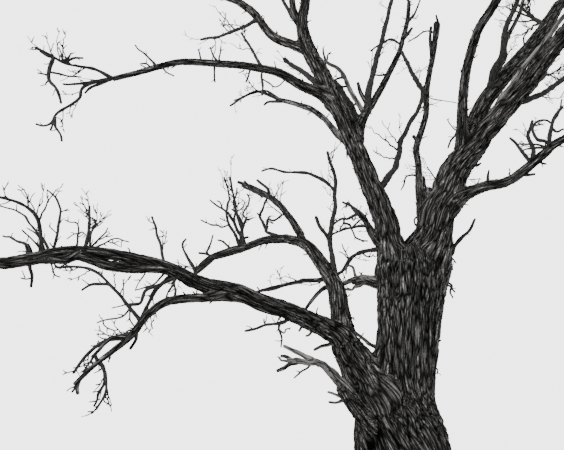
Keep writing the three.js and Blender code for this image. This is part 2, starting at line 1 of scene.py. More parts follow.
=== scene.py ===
"""A dead tree: furrowed bark, bare grey wood and bare twigs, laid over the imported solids.

The tables and the twig rule are those of the solids, in millimetres and degrees. Every piece is made in
metres in the same frame: the ground is z = 0, the front faces -Y and +X is to the right.
"""

import math
from collections import namedtuple

import bpy
import numpy as np
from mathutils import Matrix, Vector


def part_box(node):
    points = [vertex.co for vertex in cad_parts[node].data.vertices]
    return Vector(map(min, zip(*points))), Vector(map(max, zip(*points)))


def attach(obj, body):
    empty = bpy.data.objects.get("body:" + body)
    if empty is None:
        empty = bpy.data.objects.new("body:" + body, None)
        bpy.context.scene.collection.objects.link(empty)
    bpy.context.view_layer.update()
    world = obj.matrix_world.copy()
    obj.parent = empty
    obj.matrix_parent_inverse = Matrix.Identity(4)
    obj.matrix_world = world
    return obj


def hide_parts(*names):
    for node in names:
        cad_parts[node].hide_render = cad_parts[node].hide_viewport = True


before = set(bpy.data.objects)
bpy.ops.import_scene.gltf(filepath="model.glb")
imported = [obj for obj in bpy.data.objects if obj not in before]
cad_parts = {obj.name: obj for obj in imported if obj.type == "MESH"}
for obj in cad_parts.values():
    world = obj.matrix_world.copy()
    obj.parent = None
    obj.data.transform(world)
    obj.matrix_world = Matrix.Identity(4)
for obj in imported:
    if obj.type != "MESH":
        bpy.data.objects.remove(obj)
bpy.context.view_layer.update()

MM = 0.001

# The trunk, as level sections: height, middle along X, width along X, depth along Y, and how many
# degrees the ridges and flutes have wound round it.
TRUNK_SECTIONS = [
    (0, 0, 1240, 1120, 0),
    (160, 0, 1110, 1010, 8),
    (380, 0, 1020, 930, 20),
    (540, 0, 978, 888, 28),
    (700, 0, 940, 850, 37),
    (900, 0, 901, 815, 48),
    (1100, -7, 874, 780, 59),
    (1260, -5, 846, 743, 70),
    (1420, -4, 780, 700, 81),
    (1620, 14, 648, 640, 95),
    (1850, 62, 596, 600, 106),
    (2120, 128, 596, 580, 115),
    (2400, 180, 640, 600, 120),
    (2700, 231, 712, 620, 123),
    (2960, 270, 708, 600, 126),
    (3080, 265, 560, 480, 127),
    (3150, 265, 300, 260, 128),
]
ROOT_LOBES = 5
ROOT_LOBE_DEPTH = 0.16
ROOT_LOBE_HEIGHT = 420
ROOT_LOBE_TURN = 0.6
FLUTE_COUNT = 7
FLUTE_DEPTH = 0.03

# The main ridges of the trunk's bark, with a furrow between each two. Depth is a share of half the
# trunk's width.
RIDGE_COUNT = 18
RIDGE_DEPTH = 0.028
RIDGE_DEPTH_SHARE = (0.5, 1)
RIDGE_SCATTER = 0.6
RIDGE_SEED = 11

# Limbs: name, the limb each leaves, the share of that limb's length where it starts, its thickness
# there, and its legs. A leg is its length, slope from +X up to +Z, lean away from the front, and the
# thickness at its end.
BOUGHS = [
    ("low_left_bough", "trunk", 0.38, 440, [
        (530, 114, -6, 400), (310, 121, -15, 346), (200, 126, -15, 290), (120, 134, -18, 232),
        (290, 154, -18, 184), (380, 164, -22, 162), (410, 166, -23, 166), (390, 171, -27, 132),
        (380, 164, -25, 110), (390, 174, -24, 96), (360, 182, -19, 94), (310, 203, -19, 98),
        (260, 200, -30, 88), (510, 173, -29, 76), (530, 165, -28, 58)]),
    ("left_stem", "trunk", 0.81, 370, [
        (550, 102, 0, 300), (350, 100, 0, 272), (500, 107, -3, 230), (590, 108, -5, 202),
        (720, 111, -6, 190), (570, 113, -6, 170), (340, 104, -3, 142), (420, 84, -5, 112),
        (540, 84, -2, 90), (560, 99, 8, 66)]),
    ("right_stem", "trunk", 0.82, 470, [
        (660, 67, 0, 386), (380, 70, 0, 364), (410, 65, 0, 330), (330, 63, -2, 296),
        (420, 51, -7, 236), (380, 46, -12, 218), (410, 47, -20, 208), (360, 49, -26, 190),
        (360, 50, -26, 172), (1050, 50, -30, 110), (900, 45, -30, 70)]),
    ("drooping_bough", "low_left_bough", 0.414, 92, [
        (310, 198, -29, 80), (380, 198, -38, 72), (250, 226, -34, 66), (260, 249, -33, 58),
        (210, 240, -38, 42), (220, 235, -33, 36), (180, 241, -34, 30)]),
    ("arched_bough_rise", "low_left_bough", 0.2, 200, [
        (390, 94, 18, 180), (280, 92, 26, 176), (320, 112, 22, 148), (510, 116, 33, 130),
        (320, 144, 38, 108)]),
    ("arched_bough_fall", "arched_bough_rise", 1, 106, [
        (350, 168, 35, 98), (400, 184, 39, 88), (410, 185, 30, 62)]),
    ("bare_stub_limb", "trunk", 0.86, 150, [
        (470, 154, 28, 98), (230, 150, 51, 66), (260, 178, 52, 52), (280, 175, 46, 46),
        (340, 221, 48, 24)]),
    ("bare_low_limb", "trunk", 0.38, 150, [
        (610, 144, -27, 100), (240, 130, -30, 72), (210, 137, -34, 50), (150, 144, -33, 40),
        (200, 191, -38, 34), (210, 183, -41, 18)]),
    ("upper_left_bough", "left_stem", 0.475, 160, [
        (220, 140, -8, 140), (290, 164, -20, 118), (390, 164, -23, 92), (650, 190, -22, 76),
        (460, 199, -23, 66), (440, 221, -24, 56), (360, 227, -29, 48)]),
    ("upper_rear_bough", "left_stem", 0.64, 122, [
        (260, 142, 18, 108), (460, 131, 22, 106), (540, 113, 18, 104), (520, 120, 20, 96),
        (560, 129, 26, 66), (470, 119, 26, 50)]),
    ("peeled_limb", "left_stem", 0.35, 104, [
        (240, 118, 21, 84), (440, 111, 30, 76), (530, 108, 34, 66), (560, 120, 38, 58),
        (510, 131, 36, 50)]),
    ("left_rear_bough", "left_stem", 0.375, 140, [
        (460, 74, 14, 116), (450, 63, 19, 84), (730, 66, 20, 76), (780, 69, 21, 72),
        (850, 74, 19, 66), (620, 78, 19, 58)]),
    ("front_bough", "left_stem", 0.78, 90, [
        (560, 105, -43, 78), (620, 127, -58, 64), (600, 150, -66, 50)]),
    ("centre_limb", "right_stem", 0.147, 120, [
        (470, 99, 16, 92), (630, 82, 20, 80), (390, 83, 21, 86), (610, 69, 19, 80),
        (750, 77, 19, 78), (1020, 74, 17, 74), (800, 76, 16, 108)]),
    ("right_low_bough", "right_stem", 0.187, 198, [
        (320, 35, -15, 142), (250, 18, -24, 120), (230, -1, -32, 106), (230, 25, -37, 100),
        (230, 32, -45, 92), (210, 28, -49, 80), (690, 16, -37, 66), (640, 23, -35, 46)]),
    ("right_rear_bough", "right_stem", 0.335, 226, [
        (700, 67, 12, 190), (610, 58, 15, 192), (930, 52, 18, 196), (860, 52, 16, 198),
        (1230, 56, 16, 160), (970, 46, 28, 90)]),
    ("right_front_bough", "right_stem", 0.33, 150, [
        (330, 90, -14, 126), (360, 87, -20, 106), (380, 84, -28, 100), (390, 74, -35, 98),
        (340, 51, -43, 92), (960, 58, -35, 70), (720, 58, -37, 48)]),
    ("back_right_bough", "trunk", 0.8, 200, [
        (850, 74, 22, 156), (870, 65, 30, 138), (1170, 59, 28, 130), (1270, 56, 23, 116),
        (1200, 50, 22, 90), (700, 45, 20, 70)]),
    ("back_bough", "trunk", 0.72, 200, [
        (770, 74, 41, 156), (1080, 50, 57, 132), (1230, 56, 54, 106), (1200, 63, 42, 80),
        (960, 66, 25, 56)]),
]

# Masses of bare twigs: name, the limb each leaves and where, the stem's thickness at its start and end,
# how many twigs leave it, the length of the longest, how strongly they turn up, and the stem's legs.
MASSES = [
    ("low_left_tip_twigs", "low_left_bough", 1, 56, 14, 11, 900, 0.5, [
        (560, 158, -20), (520, 186, -30)]),
    ("low_left_outer_twigs", "low_left_bough", 0.89, 50, 12, 9, 720, 0.5, [
        (480, 215, -4), (460, 200, 14)]),
    ("low_left_fan_twigs", "low_left_bough", 0.738, 48, 14, 8, 480, 0.6, [
        (300, 100, -12), (180, 138, -34), (260, 172, -36)]),
    ("low_left_upright_twigs", "low_left_bough", 0.676, 46, 14, 8, 420, 0.8, [
        (260, 95, 20), (300, 104, 20)]),
    ("low_left_inner_twigs", "low_left_bough", 0.547, 42, 12, 5, 260, 0.6, [
        (380, 109, 20), (380, 113, 29)]),
    ("low_left_under_twigs", "low_left_bough", 0.531, 50, 12, 8, 320, -0.2, [
        (220, 225, 12), (210, 241, 16), (250, 236, 10), (180, 195, -6)]),
    ("drooping_hanging_twigs", "drooping_bough", 0.86, 34, 12, 7, 200, -0.6, [
        (110, 298, 0), (130, 284, -22), (140, 256, -20)]),
    ("drooping_side_twigs", "drooping_bough", 0.66, 46, 12, 7, 300, -0.2, [
        (220, 190, 15), (180, 210, 17), (180, 238, 4)]),
    ("drooping_upper_twigs", "drooping_bough", 0.58, 42, 12, 8, 300, 0.3, [
        (250, 131, -20), (320, 140, -16), (270, 179, -10)]),
    ("arched_tip_twigs", "arched_bough_fall", 1, 60, 14, 9, 480, 0.3, [
        (320, 215, 26), (380, 186, 24)]),
    ("arched_bush_twigs", "arched_bough_fall", 0.58, 62, 14, 11, 500, 1, [
        (300, 104, -10), (350, 104, -8), (320, 101, -9)]),
    ("arched_top_twigs", "arched_bough_rise", 0.82, 90, 18, 8, 620, 0.5, [
        (520, 107, 35), (610, 117, 35), (480, 130, 38), (500, 132, 39)]),
    ("arched_upright_twigs", "arched_bough_rise", 0.38, 92, 16, 8, 620, 0.6, [
        (420, 91, 25), (290, 91, 24), (630, 81, 27), (590, 84, 25), (640, 96, 25)]),
    ("fork_rear_twigs", "left_stem", 0.12, 76, 16, 9, 560, 0.3, [
        (330, 140, 58), (410, 166, 58), (360, 217, 57), (590, 176, 42), (680, 179, 38)]),
    ("fork_curl_twigs", "left_stem", 0.15, 70, 14, 5, 300, 0.5, [
        (330, 128, 46), (380, 102, 39), (420, 116, 38)]),
    ("cross_twigs", "left_stem", 0.25, 88, 18, 10, 700, 0.7, [
        (330, 59, 29), (620, 62, 35), (880, 71, 31), (920, 64, 29), (880, 69, 25)]),
    ("upper_left_tip_twigs", "upper_left_bough", 1, 46, 14, 9, 480, 0.4, [
        (220, 168, -28), (220, 193, -33), (300, 180, -44)]),
    ("upper_left_hanging_twigs", "upper_left_bough", 0.93, 46, 12, 8, 340, -0.2, [
        (430, 194, 4), (230, 262, -16), (280, 238, -18), (220, 268, -12)]),
    ("upper_left_middle_twigs", "upper_left_bough", 0.36, 54, 14, 7, 420, 0.6, [
        (480, 109, 17), (420, 111, 21)]),
    ("upper_rear_tip_twigs", "upper_rear_bough", 1, 48, 14, 12, 1150, 0.6, [
        (640, 128, 22), (620, 108, 30)]),
    ("upper_rear_side_twigs", "upper_rear_bough", 0.42, 76, 16, 9, 600, 0.4, [
        (340, 168, 39), (480, 160, 41), (420, 150, 36)]),
    ("left_fork_twigs", "left_stem", 0.52, 90, 16, 7, 460, 0.6, [
        (330, 115, 32), (520, 117, 29), (520, 118, 29)]),
    ("peeled_tip_twigs", "peeled_limb", 1, 48, 14, 9, 560, 0.4, [
        (540, 128, 28), (620, 168, 38)]),
    ("left_rear_tip_twigs", "left_rear_bough", 1, 56, 14, 11, 1000, 0.7, [
        (560, 92, 16), (520, 80, 8)]),
    ("left_rear_near_twigs", "left_rear_bough", 0.16, 90, 16, 8, 480, 0.8, [
        (610, 79, 10), (870, 74, 8), (900, 76, 10)]),
    ("left_rear_bare_twigs", "left_rear_bough", 0.085, 90, 16, 6, 380, 0.6, [
        (540, 99, 24), (520, 103, 26), (470, 116, 31)]),
    ("left_top_twigs", "left_stem", 1, 64, 14, 12, 1100, 0.7, [
        (620, 106, 6), (600, 92, -8)]),
    ("left_side_twigs", "left_stem", 0.86, 70, 14, 11, 1050, 0.5, [
        (640, 46, -26), (620, 64, -12)]),
    ("front_tip_twigs", "front_bough", 1, 48, 14, 12, 1100, 0.4, [
        (640, 120, -58), (600, 92, -46)]),
    ("centre_side_twigs", "centre_limb", 0.57, 80, 16, 8, 460, 0.7, [
        (720, 99, 22), (640, 93, 24)]),
    ("right_front_tip_twigs", "right_front_bough", 1, 46, 14, 12, 1150, 0.5, [
        (640, 50, -34), (600, 70, -48)]),
    ("right_rear_near_twigs", "right_rear_bough", 0.235, 96, 16, 8, 440, 0.6, [
        (260, 92, -44), (240, 60, -30), (340, 79, -24), (420, 66, -14)]),
    ("right_rear_tip_twigs", "right_rear_bough", 1, 86, 16, 12, 1250, 0.5, [
        (700, 50, 22), (660, 34, 6)]),
    ("right_rear_side_twigs", "right_rear_bough", 0.66, 96, 16, 12, 1100, 0.5, [
        (700, 80, 36), (680, 96, 26)]),
    ("right_middle_tip_twigs", "right_stem", 1, 66, 14, 12, 1100, 0.4, [
        (640, 30, -26), (600, 48, -40)]),
    ("right_middle_side_twigs", "right_stem", 0.475, 90, 16, 8, 460, 0.5, [
        (360, 30, 16), (360, 32, 15), (560, 40, 12)]),
    ("right_low_tip_twigs", "right_low_bough", 1, 44, 14, 12, 1000, 0.3, [
        (620, 12, -30), (560, 34, -20)]),
    ("right_low_curled_twigs", "right_low_bough", 0.37, 72, 12, 9, 380, 0.4, [
        (270, 56, 14), (310, 84, 17), (340, 62, 22)]),
    ("back_right_tip_twigs", "back_right_bough", 1, 66, 14, 12, 1200, 0.5, [
        (700, 38, 14), (640, 60, 32)]),
    ("back_tip_twigs", "back_bough", 1, 54, 14, 12, 1200, 0.4, [
        (680, 82, 34), (640, 104, 22)]),
]

# The rule that twigs grow by, as in the solids. Lengths are in metres here.
CLEARANCE = 0.3 * MM
GOLDEN_ANGLE = math.radians(137.5)
GOLDEN_SHARE = 0.618034
FIRST_TWIG_SHARE = 0.22
TWIG_TURN_SCATTER = 0.8
TWIG_ANGLE = (math.radians(34), math.radians(66))
TWIG_LENGTH_SHARE = (0.55, 1)
TWIG_TAPER_OFF = 0.4
TWIG_RISE = 0.3
TWIG_BEND = 1
CARRIES_SIDE_TWIG = 0.69
TRIES_PER_TWIG = 4
SIDE_TWIG_SHARE = 0.55
TWIG_THICK_SHARE = 0.62
TWIG_THICK_PER_LENGTH = 0.045
TWIG_MIDDLE_SHARE = 0.7
THINNEST_TWIG = 0.012
TWIG_KEEP_OFF = 0.026
LOWEST_TWIG = 0.7
SOLID_STEPS = 2
NEARLY_UPRIGHT = 0.3
COLLAR_SWELL = 0.36
MIXERS = (0x9E3779B1, 0x85EBCA6B, 0xC2B2AE35)
MIXER_SHIFTS = (13, 16)
WORD_RANGE = 2 ** 32
CHILD_SEED_START = 7000
DRAWS_PER_TWIG = 5

# Finer growth that only the looks have.
FINE_TWIG_GAP = 0.11
FINE_TWIG_MOST = 9
FINE_TWIG_SHARE = 0.4
SPUR_GAP = 0.06
SPUR_MOST = 4
THINNEST_FINE = 0.0135
THINNEST_SPUR = 0.012
MOST_OUTSIDE = 0.03
STEM_SHARE = (0.8, 0.46)
THICK_STEM_SHARE = (0.98, 0.62)
FOOT_SHARE = 0.5
SEEN_SPUR_GAP = 0.22
SEEN_SPUR_MOST = 2
SEEN_SPUR_LENGTH = 0.09
DEAD_SPUR_GAP = 0.16
DEAD_SPUR_MOST = 5
DEAD_SPUR_LENGTH = 0.11
THINNEST_DEAD_SPUR = 0.019
SPUR_FROM_SKIN = 0.44

# Boughs that have lost their bark.
BARE_LIMBS = ("peeled_limb", "bare_stub_limb", "bare_low_limb")

# Masses whose stems the photograph shows as thick and blunt, and those with only a few fine twigs.
THICK_STEMS = (
    "cross_twigs", "left_rear_near_twigs", "left_rear_bare_twigs", "left_fork_twigs",
    "centre_side_twigs", "right_rear_near_twigs", "right_middle_side_twigs")
NEAR_MASSES = (
    "low_left", "drooping", "arched", "fork", "cross", "left_rear_near", "left_rear_bare", "left_fork",
    "centre", "right_rear_near", "right_middle_side", "right_low_curled", "upper_left")
NEAR_FINE_MOST = 2
NEAR_SPUR_MOST = 1

# Gradient noise: where its cells start, the steps and shifts of its slopes, its gain, and how far off a
# whole number a wave of one direction is read.
NOISE_START = 100000
SLOPE_STEPS = 1023
SLOPE_SHIFTS = (0, 10, 20)
NOISE_GAIN = 1.4
HALF_CELL = 0.5
SMALLEST_LENGTH = 1e-12

# Relief of the bark: how far apart its strands lie, how the slow noise pushes them about, the widths of
# the furrows and of the cuts between finer strands, and the grit on top.
STRAND_SPACING = (0.015, 0.027)
STRAND_STRETCH = 13
STRAND_PER_THICK = 0.13
SWAY_SCALE = (0.45, 0.45, 0.9)
SWAY_SHIFTS = (31.7, 74.3)
SWAY_MOST = 1.1
FURROW_WIDTH = 0.17
STRAND_SCALE = (2.1, 2.1, 1.5)
STRAND_WIDTH = 0.16
STRAND_SHARE = 0.38
GRIT_SCALE = (3.8, 3.8, 4.5)
GRIT_SHARE = 0.14
RELIEF_PER_THICK = 0.07
RELIEF_MOST = 0.017
LEVEL_RELIEF = 0.6
END_RELIEF = (0.5, 0.5)
BARE_ROUGHNESS = 0.6
SEEN_ROUGHNESS = 0.8

# A limb's skin: its rings and sides, how far it wanders, its lumps, its lobes and its tip. A lobe is its
# depth as a share, how many there are, how fast they wind and how the limb's number turns them.
COURSE_STEPS = 16
FINE_STEPS = 4
FEWEST_RINGS = 6
RING_GAP = 0.0135
SIDE_GAP = 0.0078
FEWEST_SIDES = 14
WANDER_SHARE = 0.12
THINNEST_WANDER = 0.03
WANDER_SEEDS = (5, 6)
LIMB_WAVE = 0.33
LUMP_SHARE = 0.05
LUMP_PER_THICK = 0.9
LUMP_LEAST = 0.03
LUMP_SEED = 40
LIMB_LOBES = ((0.05, 2, 1.3, 1), (0.035, 3, -1.9, 2))
LOBED_THICKNESS = (0.02, 0.12)
GRAIN_SPIN = 0.5
GRAIN_SHIFT = 3.7
SEEDS_PER_LIMB = 5
TIP_SHARE = 0.3
FOOT_REACH = 1.15

# How limbs flow into each other: the blend's radius as a share of the thinner limb's thickness, and how
# the blended skin is found by stepping. A limb that isn't near counts as far.
BLEND_SHARE = 0.55
CROTCH_BLEND_SHARE = 0.26
BLEND_MOST = 0.15
BLEND_LIMIT_SHARE = 0.45
BLEND_STEPS = 4
BLEND_STEP = 0.8
FAR_GAP = 9.0

# The trunk's skin.
TRUNK_RING_GAP = 0.0125
TRUNK_SIDES = 390
TRUNK_STRAND = 0.03
TRUNK_SHOULDER = 2.96
TRUNK_RELIEF = 0.02
TRUNK_SEED = 900
TRUNK_LUMP = 0.022
TRUNK_LUMP_SCALE = (4, 4, 1.6)
TRUNK_LUMP_SEED = 3

# Skins of twigs and thin stems. A shape is its sides, its steps to a leg, how crooked it is, and how
# thick its tip is as a share of its middle.
TWIG_SHAPE = (6, 5, 0.05, 0.6)
FINE_SHAPE = (4, 4, 0.055, 0.65)
SPUR_SHAPE = (3, 2, 0.07, 0.7)
BROKEN_SPUR_SHAPE = (5, 2, 0.08, 0.8)
CROOK_DRAWS = (300, 400, 500)
TWIG_SWELLING = 0.3
TWIG_GRAIN_DRAW = 9
TWIG_GRAIN_SPREAD = 40
TWIG_RELIEF = 0.7
STEM_SIDES = 9
STEM_GAP = 0.03
STEM_WANDER = 0.4
STEM_WAVE = (0.11, 0.4)
STEM_WAVE_PER_THICK = 4.5
STEM_SEED = 200
SWELLING_GAP = 0.05
SWELLING_SEED = 8

# The seen forms and the dead spurs: how many places of a carrier are searched for a foot, their seeds,
# and the sides and rings of a seen twig.
SEARCH_PLACES = 400
SEEN_BARK_SEED = 60
SEEN_STEM_SEED = 300
SEEN_SPUR_SEED = 900
DEAD_SPUR_SEED = 2000
SEEN_SIDES = 7
SEEN_GAP = 0.02

# Colours, as plain base colours.
# Near black in the furrows: partly the bark's own dark and partly painted shade in its low relief.
FURROW_AND_SHADE_COLOUR = (0.0005, 0.0005, 0.0005, 1)
STRAND_COLOUR = (0.079, 0.0769, 0.0742, 1)
# Paler on the highest ridges, in patches: partly weathered bark and partly a painted highlight.
WEATHERED_AND_HIGHLIGHT_COLOUR = (0.18, 0.1755, 0.1705, 1)
BARE_WOOD_COLOUR = (0.075, 0.073, 0.0705, 1)
BARE_SHADE_COLOUR = (0.036, 0.035, 0.034, 1)
BARE_CRACK_COLOUR = (0.0012, 0.0012, 0.0011, 1)
TWIG_COLOUR = (0.0016, 0.0016, 0.0015, 1)
TWIG_LIGHT_COLOUR = (0.017, 0.0165, 0.016, 1)
FLOOR_COLOUR = (0.72, 0.72, 0.71, 1)
FLOOR_LIGHT_COLOUR = (0.76, 0.76, 0.75, 1)
WORLD_COLOUR = (0.93, 0.935, 0.94, 1)

# Patterns of the finishes: how many strands to a metre across and along the grain, and the width of the
# furrow between two. The sway is how far a slow noise pushes the strands about, and a noise is its scale
# and its detail.
BARK_STRANDS = (38, 2.9, 0.34)
BARK_FINE_STRANDS = (74, 11, 0.2)
WOOD_CRACKS = (34, 2.2, 0.13)
WOOD_STRANDS = (120, 7, 0.15)
TWIG_STRANDS = (90, 14, 0.2)
STRAND_SWAY = (3.4, 3.4, 1.2)
SWAY_NOISE = (0.42, 1)
FIBRE_NOISE = (2.2, 3)
PATCH_DETAIL = 3
BARK_PATCHES = 2.6
WOOD_PATCHES = 7
FLOOR_PATCHES = 0.8

# How a pattern is read: its range, and the range that it becomes where that isn't 0 to 1.
# Bark relief below this range is painted near black: partly dark bark, partly painted shade in the furrows.
BARK_RELIEF_RANGE = (0.03, 0.32)
BARK_STRAND_RANGE = (0, 1, 0.02, 1)
BARK_FINE_RANGE = (0, 1, 0.5, 1)
BARK_FIBRE_RANGE = (0.38, 0.56, 0.6, 1)
# Where the bark is paler, on the highest ridges, in fine fibres and in patches: partly weathering and partly
# a painted highlight.
WORN_HIGHLIGHT_HEIGHT_RANGE = (0.6, 1)
WORN_HIGHLIGHT_FIBRE_RANGE = (0.48, 0.66)
WORN_HIGHLIGHT_PATCH_RANGE = (0.35, 0.65, 0.25, 1)
BARK_ROUGHNESS_RANGE = (0, 1, 1, 0.84)
BARK_SHINE_RANGE = (0, 1, 0, 0.04)
WOOD_PATCH_RANGE = (0.4, 0.6)
WOOD_FIBRE_RANGE = (0.3, 0.65)
WOOD_RELIEF_RANGE = (0.1, 0.5)
WOOD_STRAND_RANGE = (0, 1, 0.8, 1)
WOOD_ROUGHNESS_RANGE = (0, 1, 0.95, 0.72)
TWIG_FIBRE_RANGE = (0.4, 0.7)
TWIG_ROUGHNESS_RANGE = (0, 1, 0.96, 0.82)
WOOD_SHINE = 0.08
TWIG_SHINE = 0.04
FLOOR_ROUGHNESS = 0.9

# The strength of a finish's bump and its height in metres.
BARK_BUMP = (1, 0.03)
WOOD_BUMP = (0.8, 0.01)
TWIG_BUMP = (0.5, 0.003)

# The stage: lamps with their place, size and power, where they aim, how strong the light from all round
# is, half the floor's width, and how far it lies below the ground, so that the two don't meet.
LAMPS = [("soft key", (-9, -9, 9), 7, 6500), ("soft fill", (9, -6, 5), 6, 500)]
LAMP_AIM = (0.4, 0, 3.5)
WORLD_STRENGTH = 4.2
FLOOR_HALF = 60
FLOOR_DROP = 0.002

# The camera stands where the photograph was taken from. The tilt is above level, and the lens's length
# in pixels of the photograph turns a slope into pixels.
CAMERA_PLACE = (-1.11, -5.6, 0.95)
CAMERA_TILT = math.radians(24)
CAMERA_LENS = 36
CAMERA_SENSOR = 36
PHOTO_SIZE = (564, 450)
LENS_PIXELS = PHOTO_SIZE[0] * CAMERA_LENS / CAMERA_SENSOR
CAMERA_REACH = 500

# Hollows in the trunk, and knots that stand out of it: the pixel of the photograph that each is seen at,
# its reach and its depth in mm. A knot's depth is below zero.
HOLLOWS = [
    ((410, 437), 62, 60), ((400, 428), 40, 34), ((376, 432), 130, 44), ((371, 446), 80, 34),
    ((396, 262), 34, 40), ((385, 352), 60, -26), ((380, 346), 34, 22),
    ((410, 300), 56, -18), ((411, 313), 30, 20), ((404, 377), 32, 26), ((392, 397), 70, 12),
]
# How deep a hollow must be in mm for its bark to be painted fully dark: painted shade in the hollow.
HOLLOW_SHADE_DEPTH = 40
HOLLOW_STRETCH = 1.4

# Stands for the distance of a form that keeps beside its carrier all along.
BESIDE = None

